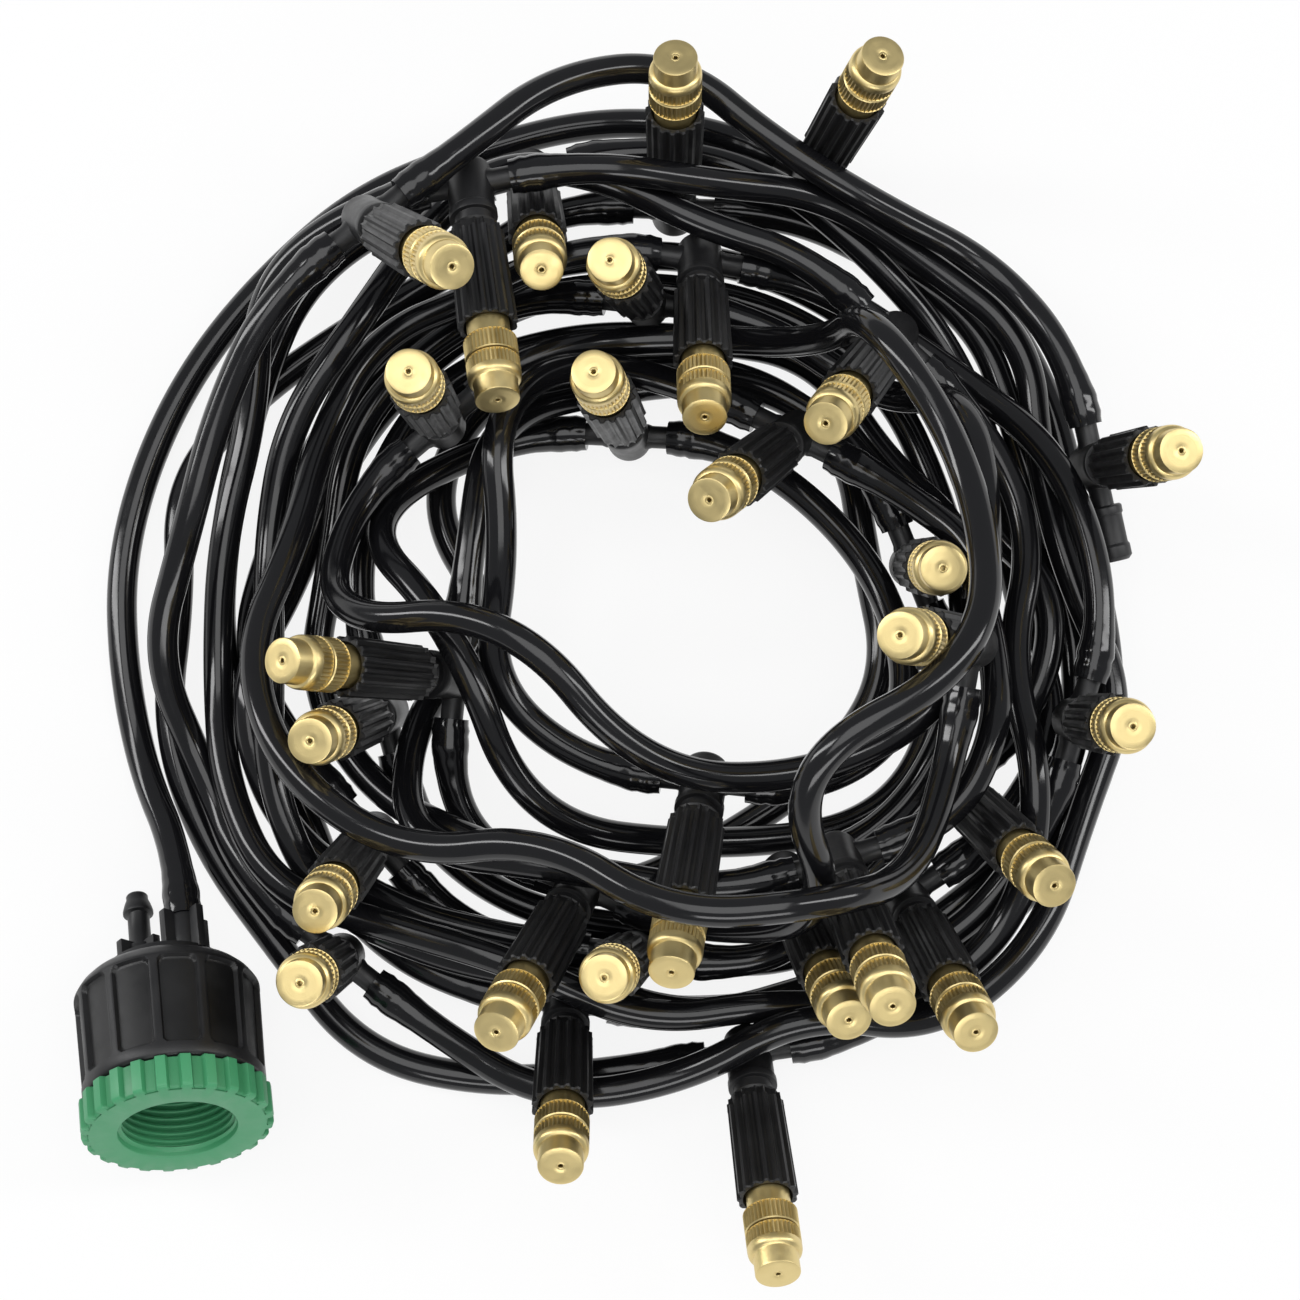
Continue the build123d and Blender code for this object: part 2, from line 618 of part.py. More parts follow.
# ---- holder: ribbed sleeve between the tee's neck and the brass stem ----
with BuildPart() as holder:
    with BuildSketch(Plane.XY.offset(HOLDER_BASE)):
        Circle(HOLDER_R)
    extrude(amount=HOLDER_LEN)
    chamfer(holder.edges().sort_by(Axis.Z)[0], length=EDGE)
    with BuildSketch(Plane.XY.offset(HOLDER_BASE + 1)):
        with PolarLocations((HOLDER_R + RIB_R) / 2 - EDGE, RIB_COUNT):
            Rectangle(RIB_R - HOLDER_R + 2 * EDGE, RIB_WIDTH)
    extrude(amount=HOLDER_LEN - 1)
    with BuildSketch(Plane.XY.offset(HOLDER_BASE)):
        Circle(HOLDER_PASSAGE_R)
    extrude(amount=HOLDER_LEN, mode=Mode.SUBTRACT)
    with BuildSketch(Plane.XY.offset(HOLDER_BASE)):
        Circle(NECK_R + FIT)
    extrude(amount=NECK_PLUG_LEN, mode=Mode.SUBTRACT)
    with BuildSketch(Plane.XY.offset(HOLDER_TOP - STEM_SEAT)):
        Circle(STEM_R + FIT)
    extrude(amount=STEM_SEAT, mode=Mode.SUBTRACT)

# ---- stem: brass barrel, fixed knurled ring and the tapered spindle inside the cap ----
with BuildPart() as stem:
    with BuildSketch(Plane.XZ):
        with BuildLine():
            Polyline(
                (STEM_PASSAGE_R, HOLDER_TOP - STEM_SEAT),
                (STEM_R, HOLDER_TOP - STEM_SEAT),
                (STEM_R, KNURL_BASE),
                (KNURL_R - EDGE, KNURL_BASE),
                (KNURL_R, KNURL_BASE + EDGE),
                (KNURL_R, SPINDLE_BASE - EDGE),
                (KNURL_R - EDGE, SPINDLE_BASE),
                (SPINDLE_R, SPINDLE_BASE),
                (SPINDLE_R, SPINDLE_BASE + SPINDLE_LEN - SPINDLE_TIP_LEN),
                (SPINDLE_TIP_R, SPINDLE_BASE + SPINDLE_LEN),
                (STEM_PASSAGE_R, SPINDLE_BASE + SPINDLE_LEN),
                close=True,
            )
        make_face()
    revolve(axis=Axis.Z)
    groove_middle = SPINDLE_BASE + SPINDLE_LEN / 2
    with BuildSketch(Plane.XZ):
        with Locations((SPINDLE_R, groove_middle)):
            Rectangle(4 * SEAL_WIRE_R, 2 * (SEAL_WIRE_R + FIT))
    revolve(axis=Axis.Z, mode=Mode.SUBTRACT)

# ---- seal: O-ring in the spindle's groove ----
with BuildPart() as seal:
    with BuildSketch(Plane.XZ):
        with Locations((SPINDLE_R - SEAL_WIRE_R, groove_middle)):
            Circle(SEAL_WIRE_R)
    revolve(axis=Axis.Z)

# ---- cap: turned brass nose with a knurled skirt; turning it sets the mist ----
with BuildPart() as cap:
    with BuildSketch(Plane.XZ):
        with BuildLine():
            Polyline(
                (SPINDLE_R + CAP_RUNNING, CAP_BASE),
                (KNURL_R - EDGE, CAP_BASE),
                (KNURL_R, CAP_BASE + EDGE),
                (KNURL_R, CAP_BASE + CAP_SKIRT_LEN - EDGE),
                (CAP_NOSE_R, CAP_BASE + CAP_SKIRT_LEN + CAP_SHOULDER_LEN),
                (CAP_NOSE_R, NOZZLE_TIP - EDGE),
                (CAP_NOSE_R - EDGE, NOZZLE_TIP),
                (ORIFICE_R, NOZZLE_TIP - EDGE),
                (ORIFICE_R, NOZZLE_TIP - CAP_FACE),
                (SPINDLE_R + CAP_RUNNING, NOZZLE_TIP - CAP_FACE),
                close=True,
            )
        make_face()
    revolve(axis=Axis.Z)

# ---- end cap: closed sleeve over the last tee's free arm; Z runs outward along the arm ----
with BuildPart() as end_cap:
    with BuildSketch(Plane.XY.offset(ARM_REACH)):
        Circle(END_CAP_R)
    extrude(amount=END_CAP_LEN)
    chamfer(end_cap.edges().sort_by(Axis.Z)[-1], length=2 * EDGE)
    with BuildSketch(Plane.XY.offset(ARM_REACH)):
        Circle(HOSE_BORE_R)
    extrude(amount=SPIGOT_LEN + EDGE, mode=Mode.SUBTRACT)

# ---- tap connector body: domed shell with a threaded skirt's socket and two outlets ----
shell_floor = -SHELL_LEN
socket_top = shell_floor + SOCKET_DEPTH
with BuildPart() as tap_body:
    with BuildSketch(Plane.XZ):
        with BuildLine():
            Line((0, 0), (DOME_R, 0))
            RadiusArc((DOME_R, 0), (SHOULDER_R, -DOME_DROP), DOME_DROP * 1.3)
            Line((SHOULDER_R, -DOME_DROP), (SKIRT_R, shell_floor))
            Line((SKIRT_R, shell_floor), (0, shell_floor))
            Line((0, shell_floor), (0, 0))
        make_face()
    revolve(axis=Axis.Z)
    with BuildSketch(Plane.XY.offset(shell_floor + 1.5)):
        with PolarLocations(SKIRT_R - 0.4, BODY_RIBS):
            Rectangle(2 * BODY_RIB_PROUD + 1.6, BODY_RIB_WIDTH)
    extrude(amount=SHELL_LEN - DOME_DROP - 1.5)
    with Locations((0, 0, shell_floor + 2.5), (0, 0, -DOME_DROP - 1.5)):
        Cylinder(SHOULDER_R + BODY_RIB_PROUD - 0.4, 2.0)
    with BuildSketch(Plane.XY.offset(shell_floor)):
        Circle(SLEEVE_R + SLEEVE_RUNNING)
    extrude(amount=SOCKET_DEPTH, mode=Mode.SUBTRACT)
    with BuildSketch(Plane.XY.offset(socket_top)):
        Circle(CHAMBER_R)
    extrude(amount=-socket_top - DOME_WALL, mode=Mode.SUBTRACT)
    outlets = [(OUTLET_OFFSET_X, -OUTLET_OFFSET_Y), (-OUTLET_OFFSET_X, OUTLET_OFFSET_Y)]
    with BuildSketch(Plane.XY):
        with Locations(*outlets):
            Circle(BOSS_R)
            Rectangle(BOSS_FIN, BOSS_FIN_WIDTH, rotation=45)
            Rectangle(BOSS_FIN, BOSS_FIN_WIDTH, rotation=-45)
    extrude(amount=BOSS_LEN)
    with BuildSketch(Plane.XY.offset(BOSS_LEN)):
        with Locations(outlets[0]):
            Circle(SPIGOT_R)
    extrude(amount=SPIGOT_LEN)
    spare_tip = BOSS_LEN + SPARE_LEN
    with BuildSketch(Plane(origin=(outlets[1][0], outlets[1][1], 0), x_dir=(1, 0, 0), z_dir=(0, -1, 0))):
        with BuildLine():
            Polyline(
                (0, BOSS_LEN),
                (SPARE_SHANK_R, BOSS_LEN),
                (SPARE_SHANK_R, spare_tip - SPARE_LAND - 3),
                (SPARE_BARB_R, spare_tip - SPARE_LAND - 3),
                (SPARE_BARB_R, spare_tip - 3),
                (SPARE_SHANK_R - 0.3, spare_tip),
                (0, spare_tip),
                close=True,
            )
        make_face()
    revolve(axis=Axis((outlets[1][0], outlets[1][1], 0), (0, 0, 1)))
    with Locations((outlets[0][0], outlets[0][1], BOSS_LEN + SPIGOT_LEN)):
        Hole(SPIGOT_PASSAGE_R, depth=BOSS_LEN + SPIGOT_LEN + DOME_WALL + 1)
    with Locations((outlets[1][0], outlets[1][1], spare_tip)):
        Hole(SPARE_BORE_R, depth=spare_tip + DOME_WALL + 1)

# ---- thread adapter: green ring with a plain sleeve that screws into the body ----
ring_top = shell_floor - RING_SEAT_GAP
sleeve_top = ring_top + RING_SEAT_GAP + SLEEVE_LEN
mouth = ring_top - RING_LEN
with BuildPart() as thread_adapter:
    with BuildSketch(Plane.XY.offset(mouth)):
        Circle(RING_R)
        with PolarLocations(RING_R - 0.5, RING_TEETH):
            Rectangle(2 * RING_TOOTH_PROUD + 0.4, RING_TOOTH_WIDTH)
    extrude(amount=RING_LEN)
    with BuildSketch(Plane.XY.offset(ring_top)):
        Circle(SLEEVE_R)
    extrude(amount=sleeve_top - ring_top)
    with BuildSketch(Plane.XY.offset(mouth)):
        Circle(INLET_R)
    extrude(amount=sleeve_top - INLET_LIP - mouth, mode=Mode.SUBTRACT)
    with BuildSketch(Plane.XY.offset(sleeve_top - INLET_LIP)):
        Circle(INLET_R + WASHER_RECESS)
    extrude(amount=-WASHER_T, mode=Mode.SUBTRACT)
    with BuildSketch(Plane.XY.offset(sleeve_top)):
        Circle(INLET_LIP_R)
    extrude(amount=-INLET_LIP, mode=Mode.SUBTRACT)

# ---- washers: one under the tap's thread, one between sleeve and body ----
with BuildPart() as inlet_washer:
    with BuildSketch(Plane.XY.offset(sleeve_top - INLET_LIP)):
        Circle(INLET_R + WASHER_RECESS - FIT)
        Circle(INLET_LIP_R, mode=Mode.SUBTRACT)
    extrude(amount=-WASHER_T)
with BuildPart() as adapter_washer:
    with BuildSketch(Plane.XY.offset(sleeve_top)):
        Circle(SLEEVE_R - 2 * FIT)
        Circle(CHAMBER_R - 1, mode=Mode.SUBTRACT)
    extrude(amount=WASHER_T)


def hose_length(route):
    """Run one length of hose along its route, from face to face."""
    with BuildPart() as hose:
        with BuildLine() as path:
            corners = [Vector(*point) for point in route]
            radii = []
            for before, corner, after in zip(corners, corners[1:], corners[2:]):
                turn = (corner - before).get_angle(after - corner)
                run = min((corner - before).length, (after - corner).length)
                radii.append(0.45 * run / math.tan(math.radians(turn) / 2))
            middle = FilletPolyline(*corners, radius=radii)
        with BuildSketch(Plane(origin=corners[0], z_dir=corners[1] - corners[0])):
            Circle(HOSE_R)
            Circle(HOSE_BORE_R, mode=Mode.SUBTRACT)
        sweep()
    return hose.part, middle.length


def set_at(template, places):
    """Copies of one finished piece, one at each place, as one group."""
    return Compound(children=[template.part.moved(place.location) for place in places])


nodes = {
    "tees": set_at(tee, planes.values()),
    "nozzle_holders": set_at(holder, planes.values()),
    "nozzle_stems": set_at(stem, planes.values()),
    "cap_seals": set_at(seal, planes.values()),
    "tap_body": set_at(tap_body, [connector]),
    "thread_adapter": set_at(thread_adapter, [connector]),
    "adapter_washer": set_at(adapter_washer, [connector]),
    "inlet_washer": set_at(inlet_washer, [connector]),
}
for number in sorted(planes):
    nodes[f"nozzle_cap_{number:02d}"] = set_at(cap, [planes[number]])
last = planes[tees[-1][0]]
nodes["end_cap"] = set_at(end_cap, [Plane(last.origin, x_dir=last.z_dir, z_dir=last.x_dir)])

hoses = []
total = 0.0
for route in routes:
    hose, length = hose_length(route)
    swept = math.pi * (HOSE_R**2 - HOSE_BORE_R**2) * length
    if abs(hose.volume / swept - 1) > 0.01:
        print(f"hose {len(hoses) + 1}: volume {hose.volume:.0f}, section times length {swept:.0f}")
    hoses.append(hose)
    total += length
print(f"hose length in all {total:.0f} mm in {len(hoses)} lengths")
for pair in range(0, len(hoses), 2):
    nodes[f"hose_{pair + 1:02d}_{pair + 2:02d}"] = Compound(children=hoses[pair : pair + 2])

# ---- origin under the middle of the part, on the floor ----
box = nodes["tees"].bounding_box()
for node in nodes.values():
    box = box.add(node.bounding_box())
ground = Location((-box.center().X, -box.center().Y, -box.min.Z))
print("moved by", tuple(ground.position), "size", box.size)
os.makedirs("parts", exist_ok=True)
for name, node in nodes.items():
    piece = node.moved(ground)
    piece.label = name
    export_step(piece, f"parts/{name}.step")
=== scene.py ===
"""Looks of a coiled misting hose line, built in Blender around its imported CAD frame.

A black hose is cut into 28 lengths that join 28 tees. Each tee carries a ribbed holder, a brass
stem and a brass cap that turns. The first length leaves a tap connector with a green threaded
adapter. The frame is in metres, and each class gives its own sizes in millimetres.
"""

from __future__ import annotations

import json
import logging
import math
from collections.abc import Callable, Iterable, Sequence
from dataclasses import dataclass, field
from enum import Enum
from functools import cache
from typing import Any

import bmesh
import bpy
import numpy as np
from bmesh.types import BMVert, BMesh
from bpy.types import (
    Curve, ID, Material, Mesh, Node, NodeSocket, NodeTree, Object, ShaderNodeTree, Spline,
)
from mathutils import Matrix, Vector

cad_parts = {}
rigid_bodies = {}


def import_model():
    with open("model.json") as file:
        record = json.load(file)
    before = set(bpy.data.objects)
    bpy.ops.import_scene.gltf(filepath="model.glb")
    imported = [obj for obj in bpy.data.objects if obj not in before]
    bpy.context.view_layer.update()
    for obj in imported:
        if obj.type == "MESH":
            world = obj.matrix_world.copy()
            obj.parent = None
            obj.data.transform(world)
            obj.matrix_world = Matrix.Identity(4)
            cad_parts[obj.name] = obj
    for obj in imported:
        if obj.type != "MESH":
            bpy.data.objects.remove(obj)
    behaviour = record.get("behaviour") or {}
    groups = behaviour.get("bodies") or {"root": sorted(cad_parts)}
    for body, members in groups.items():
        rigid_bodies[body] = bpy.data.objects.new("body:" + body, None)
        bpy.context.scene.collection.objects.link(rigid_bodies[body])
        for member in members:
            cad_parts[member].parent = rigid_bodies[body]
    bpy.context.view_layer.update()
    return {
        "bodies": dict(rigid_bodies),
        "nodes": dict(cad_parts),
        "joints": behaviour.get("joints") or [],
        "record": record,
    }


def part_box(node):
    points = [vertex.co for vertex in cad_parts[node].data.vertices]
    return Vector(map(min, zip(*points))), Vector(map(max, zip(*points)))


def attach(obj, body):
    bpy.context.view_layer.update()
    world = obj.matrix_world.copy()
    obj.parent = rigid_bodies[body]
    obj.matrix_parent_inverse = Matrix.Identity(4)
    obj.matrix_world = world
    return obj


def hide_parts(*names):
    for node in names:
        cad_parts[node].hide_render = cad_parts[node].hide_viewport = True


LOG = logging.getLogger("misting_line")
MM = 0.001
WELD = 1e-6
WELD_MM = 1e-4
ON_SURFACE = 2e-5
STRAIGHT = 1 - 2e-6
BEVEL_ANGLE = 25.0
CREASE_ANGLE = 32.0
LINE = "line"
ADAPTER = "adapter"
TURNED = "turned"
# Attribute that is 1 on crests and lower in grooves and bores; it places the painted shade of each
# finish.
CREST = "crest"
MIDDLE_GREY = (0.5, 0.5, 0.5, 1.0)
DARK_GREY = (0.1, 0.1, 0.1, 1.0)
DRIFT_SCALE = 70.0
MASK_SPREAD = (0.35, 0.65)

Outline = Sequence[tuple[float, float]]


class Slot(Enum):
    """The record's material slots."""

    HOSE = "hose_black"
    FITTING = "fitting_black"
    BRASS = "brass"
    GREEN = "adapter_green"


# ---- Shader node groups that the finishes share ----


def add_node(tree: NodeTree, kind: str, inputs: dict[Any, Any], **settings: Any) -> Node:
    """Add a node to a shader tree.

    Args:
        tree: The tree.
        kind: The node's type name without its ShaderNode prefix.
        inputs: For an input's name or number, its value or the output that feeds it.
        **settings: Properties of the node.

    Returns:
        The new node.
    """
    node = tree.nodes.new(f"ShaderNode{kind}")
    for name, value in settings.items():
        setattr(node, name, value)
    for name, value in inputs.items():
        if isinstance(value, NodeSocket):
            tree.links.new(value, node.inputs[name])
        else:
            node.inputs[name].default_value = value
    return node


class ShaderGroup:
    """One shader node group with named inputs and outputs."""

    def __init__(self, name: str, **inputs: float | tuple[float, ...]) -> None:
        """Start a group.

        Args:
            name: The group's name.
            **inputs: The default value of each input, a number or a colour.
        """
        self.tree = bpy.data.node_groups.new(name, "ShaderNodeTree")
        self.entry = self.tree.nodes.new("NodeGroupInput")
        self.exit = self.tree.nodes.new("NodeGroupOutput")
        for title, value in inputs.items():
            kind = "NodeSocketColor" if isinstance(value, tuple) else "NodeSocketFloat"
            socket = self.tree.interface.new_socket(title, in_out="INPUT", socket_type=kind)
            socket.default_value = value

    def gives(self, name: str, kind: str, source: NodeSocket) -> None:
        """Add a Float or Color output fed by a node's output."""
        self.tree.interface.new_socket(name, in_out="OUTPUT", socket_type=f"NodeSocket{kind}")
        self.tree.links.new(source, self.exit.inputs[name])

    def node(self, kind: str, inputs: dict[Any, Any], **settings: Any) -> Node:
        """Add a node, as add_node does."""
        return add_node(self.tree, kind, inputs, **settings)

    def asked(self, name: str) -> NodeSocket:
        """The value that a material gives to a named input."""
        return self.entry.outputs[name]


@cache
def grain_group() -> ShaderNodeTree:
    """Fine unevenness of a moulded or worked surface, as a height from 0 to 1.

    Returns:
        A group with Scale and Detail in and Height out.
    """
    group = ShaderGroup("surface_grain", Scale=900.0, Detail=4.0)
    inputs = {"Vector": group.node("TexCoord", {}).outputs["Object"]}
    inputs |= {name: group.asked(name) for name in ("Scale", "Detail")}
    group.gives("Height", "Float", group.node("TexNoise", inputs).outputs["Fac"])
    return group.tree


@cache
def drift_group() -> ShaderNodeTree:
    """Slow change of brightness over a surface.

    Returns:
        A group with Colour, Drift and Scale in and Colour and Mask out.
    """
    group = ShaderGroup("colour_drift", Colour=MIDDLE_GREY, Drift=0.2, Scale=60.0)
    place = group.node("TexCoord", {}).outputs["Object"]
    inputs = {"Vector": place, "Scale": group.asked("Scale"), "Detail": 6.0, "Roughness": 0.6}
    mask = group.node("TexNoise", inputs).outputs["Fac"]
    centred = group.node("Math", {0: mask, 1: 0.5}, operation="SUBTRACT").outputs[0]
    inputs = {0: centred, 1: group.asked("Drift"), 2: 1.0}
    swing = group.node("Math", inputs, operation="MULTIPLY_ADD").outputs[0]
    shade = group.node("HueSaturation", {"Color": group.asked("Colour"), "Value": swing})
    group.gives("Colour", "Color", shade.outputs["Color"])
    group.gives("Mask", "Float", mask)
    return group.tree


@cache
def ring_group() -> ShaderNodeTree:
    """Fine rings left by turning on a lathe, along the piece's turned attribute.

    Returns:
        A group with Pitch in and Height out.
    """
    group = ShaderGroup("turning_rings", Pitch=0.15)
    place = group.node("Attribute", {}, attribute_name=TURNED).outputs["Fac"]
    count = group.node("Math", {0: place, 1: group.asked("Pitch")}, operation="DIVIDE")
    inputs = {"Scale": 1.0, "Detail": 3.0, "W": count.outputs[0]}
    noise = group.node("TexNoise", inputs, noise_dimensions="1D")
    group.gives("Height", "Float", noise.outputs["Fac"])
    return group.tree


@cache
def groove_shade_group() -> ShaderNodeTree:
    """Painted shade: darker colour down in the grooves between ribs, teeth or knurls, where shade
    falls.

    Returns:
        A group with Colour, the shade colour and Amount in and Colour out.
    """
    group = ShaderGroup("groove_shade", Colour=MIDDLE_GREY, ShadeColour=DARK_GREY, Amount=0.5)
    crest = group.node("Attribute", {}, attribute_name=CREST).outputs["Fac"]
    depth = group.node("Math", {0: 1.0, 1: crest}, operation="SUBTRACT", use_clamp=True)
    inputs = {0: depth.outputs[0], 1: group.asked("Amount")}
    share = group.node("Math", inputs, operation="MULTIPLY", use_clamp=True)
    inputs = {"Factor": share.outputs[0], 6: group.asked("Colour"), 7: group.asked("ShadeColour")}
    group.gives("Colour", "Color", group.node("Mix", inputs, data_type="RGBA").outputs[2])
    return group.tree


class Surface:
    """A material under construction: one Principled shader and what feeds it."""

    def __init__(self, name: str) -> None:
        """Start a material of that name."""
        self.material = bpy.data.materials.new(name)
        self.material.use_nodes = True
        self.tree = self.material.node_tree
        self.shader = self.tree.nodes["Principled BSDF"]

    def group(self, tree: ShaderNodeTree, **values: Any) -> Node:
        """Place a shared group with this material's own values, as add_node takes them."""
        return add_node(self.tree, "Group", values, node_tree=tree)

    def feed(self, name: str, source: NodeSocket) -> None:
        """Feed an input of the shader."""
        self.tree.links.new(source, self.shader.inputs[name])

    def colour(
        self, colour: Sequence[float], groove_shade_colour: Sequence[float], depth: float, drift: float
    ) -> None:
        """Feed Base Color with the colour, its drift and the shade of its grooves.

        Args:
            colour: Linear colour of the surface.
            groove_shade_colour: Linear colour of the painted shade down in the grooves.
            depth: How far the painted shade darkens the grooves, 0 to 1.
            drift: Spread of the brightness.
        """
        base = (*colour, 1.0)
        drifting = self.group(drift_group(), Colour=base, Drift=drift, Scale=DRIFT_SCALE)
        inputs = {"Colour": drifting.outputs["Colour"], "ShadeColour": (*groove_shade_colour, 1.0), "Amount": depth}
        shaded = self.group(groove_shade_group(), **inputs)
        self.feed("Base Color", shaded.outputs["Colour"])

    def roughness(self, low: float, high: float, scale: float) -> None:
        """Feed Roughness with a slow change between two values.

        Args:
            low: The smoothest value.
            high: The roughest value.
            scale: How fast it changes.
        """
        mask = self.group(drift_group(), Scale=scale).outputs["Mask"]
        least, most = MASK_SPREAD
        inputs = {"Value": mask, "From Min": least, "From Max": most, "To Min": low, "To Max": high}
        self.feed("Roughness", add_node(self.tree, "MapRange", inputs).outputs["Result"])

    def bumps(self, *layers: tuple[Node, float]) -> None:
        """Feed Normal with one bump on another.

        Args:
            *layers: A node that gives a height and its depth in millimetres for each layer.
        """
        below: dict[str, NodeSocket] = {}
        for node, depth in layers:
            height = node.outputs["Height"]
            inputs = {"Strength": 1.0, "Distance": depth * MM, "Height": height, **below}
            below = {"Normal": add_node(self.tree, "Bump", inputs).outputs["Normal"]}
        self.feed("Normal", below["Normal"])


# ---- Finishes ----


@dataclass(frozen=True)
class Finish:
    """A surface: its colour, the painted shade down in its grooves, how satin it is, its grain, and
    any waves or turning rings.
    """

    name: str
    colour: tuple[float, float, float]
    # Painted shade: the darker colour put down in grooves, sunk panels and bores.
    groove_shade_colour: tuple[float, float, float]
    smoothest: float
    roughest: float
    grain_scale: float
    grain_depth: float
    grain_detail: float = 4.0
    groove_shade_amount: float = 0.6
    drift: float = 0.25
    wave_depth: float = 0.0
    wave_scale: float = 120.0
    ring_depth: float = 0.0
    ring_pitch: float = 0.16
    roughness_scale: float = 180.0
    metallic: float = 0.0

    def material(self) -> Material:
        """Build the material.

        Returns:
            The finished material.
        """
        surface = Surface(self.name)
        surface.colour(self.colour, self.groove_shade_colour, self.groove_shade_amount, self.drift)
        surface.roughness(self.smoothest, self.roughest, self.roughness_scale)
        surface.shader.inputs["Metallic"].default_value = self.metallic
        layers = []
        if self.wave_depth:
            wave = surface.group(grain_group(), Scale=self.wave_scale, Detail=1.0)
            layers.append((wave, self.wave_depth))
        if self.ring_depth:
            rings = surface.group(ring_group(), Pitch=self.ring_pitch * MM)
            layers.append((rings, self.ring_depth))
        grain = surface.group(grain_group(), Scale=self.grain_scale, Detail=self.grain_detail)
        surface.bumps(*layers, (grain, self.grain_depth))
        return surface.material


# The second colour of each finish is painted shade, put down in grooves, sunk panels and bores by
# the crest attribute.
HOSE_PVC = Finish(
    name="gloss_black_hose", colour=(0.006, 0.006, 0.007), groove_shade_colour=(0.004, 0.004, 0.004),
    smoothest=0.09, roughest=0.16, grain_scale=1500.0, grain_depth=0.003, wave_depth=0.03,
)
FITTING_PLASTIC = Finish(
    name="satin_black_fittings", colour=(0.010, 0.010, 0.011), groove_shade_colour=(0.004, 0.004, 0.004),
    smoothest=0.36, roughest=0.50, grain_scale=2600.0, grain_depth=0.012,
)
GREEN_PLASTIC = Finish(
    name="green_adapter_plastic", colour=(0.058, 0.305, 0.135), groove_shade_colour=(0.040, 0.225, 0.095),
    smoothest=0.38, roughest=0.50, grain_scale=1800.0, grain_depth=0.008, drift=0.10,
)
SEAL_RUBBER = Finish(
    name="seal_rubber", colour=(0.008, 0.008, 0.008), groove_shade_colour=(0.005, 0.005, 0.005),
    smoothest=0.55, roughest=0.68, grain_scale=2000.0, grain_depth=0.02,
)
TURNED_BRASS = Finish(
    name="turned_brass", colour=(0.78, 0.63, 0.30), groove_shade_colour=(0.47, 0.33, 0.10),
    smoothest=0.34, roughest=0.46, grain_scale=2500.0, grain_depth=0.008, grain_detail=2.0,
    groove_shade_amount=0.5, drift=0.16, ring_depth=0.012, roughness_scale=260.0, metallic=1.0,
)


# ---- Shapes ----


def axes_matrix(origin: Vector, x_axis: Vector, z_axis: Vector) -> Matrix:
    """Matrix from a piece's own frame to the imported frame.

    Args:
        origin: Where the piece's own origin goes.
        x_axis: Direction of its X axis.
        z_axis: Direction of its Z axis, square to the other.

    Returns:
        The matrix, with no scale.
    """
    y_axis = z_axis.cross(x_axis)
    turn = Matrix((x_axis, y_axis, z_axis)).transposed().to_4x4()
    turn.translation = origin
    return turn


def attribute_layers(bm: BMesh) -> tuple[Any, Any]:
    """The turned and crest layers of a mesh, made if they are missing."""
    layers = bm.verts.layers.float
    return layers.get(TURNED) or layers.new(TURNED), layers.get(CREST) or layers.new(CREST)


def lathe(outline: Outline, steps: int, ring: bool = False, soften: float = 0.0) -> BMesh:
    """Turn an outline about Z.

    Args:
        outline: Radius and height of each point, in millimetres.
        steps: Faces round the shape.
        ring: True if the outline closes on itself, as a washer's does.
        soften: Width of the bevel on sharp edges, in millimetres.

    Returns:
        The shape in millimetres, with its turned and crest attributes.
    """
    bm = bmesh.new()
    turned, crest = attribute_layers(bm)
    points = [bm.verts.new((radius, 0, height)) for radius, height in outline]
    pairs = list(zip(points, points[1:])) + ([(points[-1], points[0])] if ring else [])
    edges = [bm.edges.new(pair) for pair in pairs]
    whole = {"axis": (0, 0, 1), "cent": (0, 0, 0), "angle": math.tau, "use_merge": True}
    bmesh.ops.spin(bm, geom=points + edges, steps=steps, **whole)
    bmesh.ops.remove_doubles(bm, verts=bm.verts, dist=WELD_MM)
    bmesh.ops.dissolve_degenerate(bm, edges=bm.edges, dist=WELD_MM)
    bmesh.ops.recalc_face_normals(bm, faces=bm.faces)
    if soften:
        soften_edges(bm, soften)
    for vert in bm.verts:
        vert[turned] = (math.hypot(vert.co.x, vert.co.y) + vert.co.z) * MM
        vert[crest] = 1.0
    return bm


def soften_edges(bm: BMesh, width: float) -> None:
    """Bevel the edges of a shape that turn by more than BEVEL_ANGLE.

    Args:
        bm: The shape.
        width: Width of the bevel, in the shape's own units.
    """
    limit = math.radians(BEVEL_ANGLE)
    sharp = [edge for edge in bm.edges if edge.is_manifold and edge.calc_face_angle() > limit]
    kind = {"offset_type": "OFFSET", "affect": "EDGES", "material": -1, "clamp_overlap": True}
    bmesh.ops.bevel(bm, geom=sharp, offset=width, segments=2, profile=0.5, **kind)


def eased(share: float) -> float:
    """A share kept within 0 and 1, which leaves both ends gently."""
    share = min(1.0, max(0.0, share))
    return share * share * (3 - 2 * share)


def spun(bm: BMesh, degrees: float, axis: str) -> None:
    """Turn a shape about one of its own axes."""
    turn = Matrix.Rotation(math.radians(degrees), 3, axis)
    bmesh.ops.rotate(bm, verts=bm.verts, cent=(0, 0, 0), matrix=turn)


def block(size: Sequence[float], centre: Sequence[float], turn: float, soften: float) -> BMesh:
    """A bevelled block.

    Args:
        size: Its three sides, in millimetres.
        centre: Its centre.
        turn: Degrees that it is turned about Z.
        soften: Width of its bevels.

    Returns:
        The block.
    """
    bm = bmesh.new()
    turned, crest = attribute_layers(bm)
    bmesh.ops.create_cube(bm, size=1.0)
    bmesh.ops.scale(bm, vec=size, verts=bm.verts)
    spun(bm, turn, "Z")
    bmesh.ops.translate(bm, vec=centre, verts=bm.verts)
    soften_edges(bm, soften)
    for vert in bm.verts:
        vert[turned] = vert.co.z * MM
        vert[crest] = 1.0
    return bm


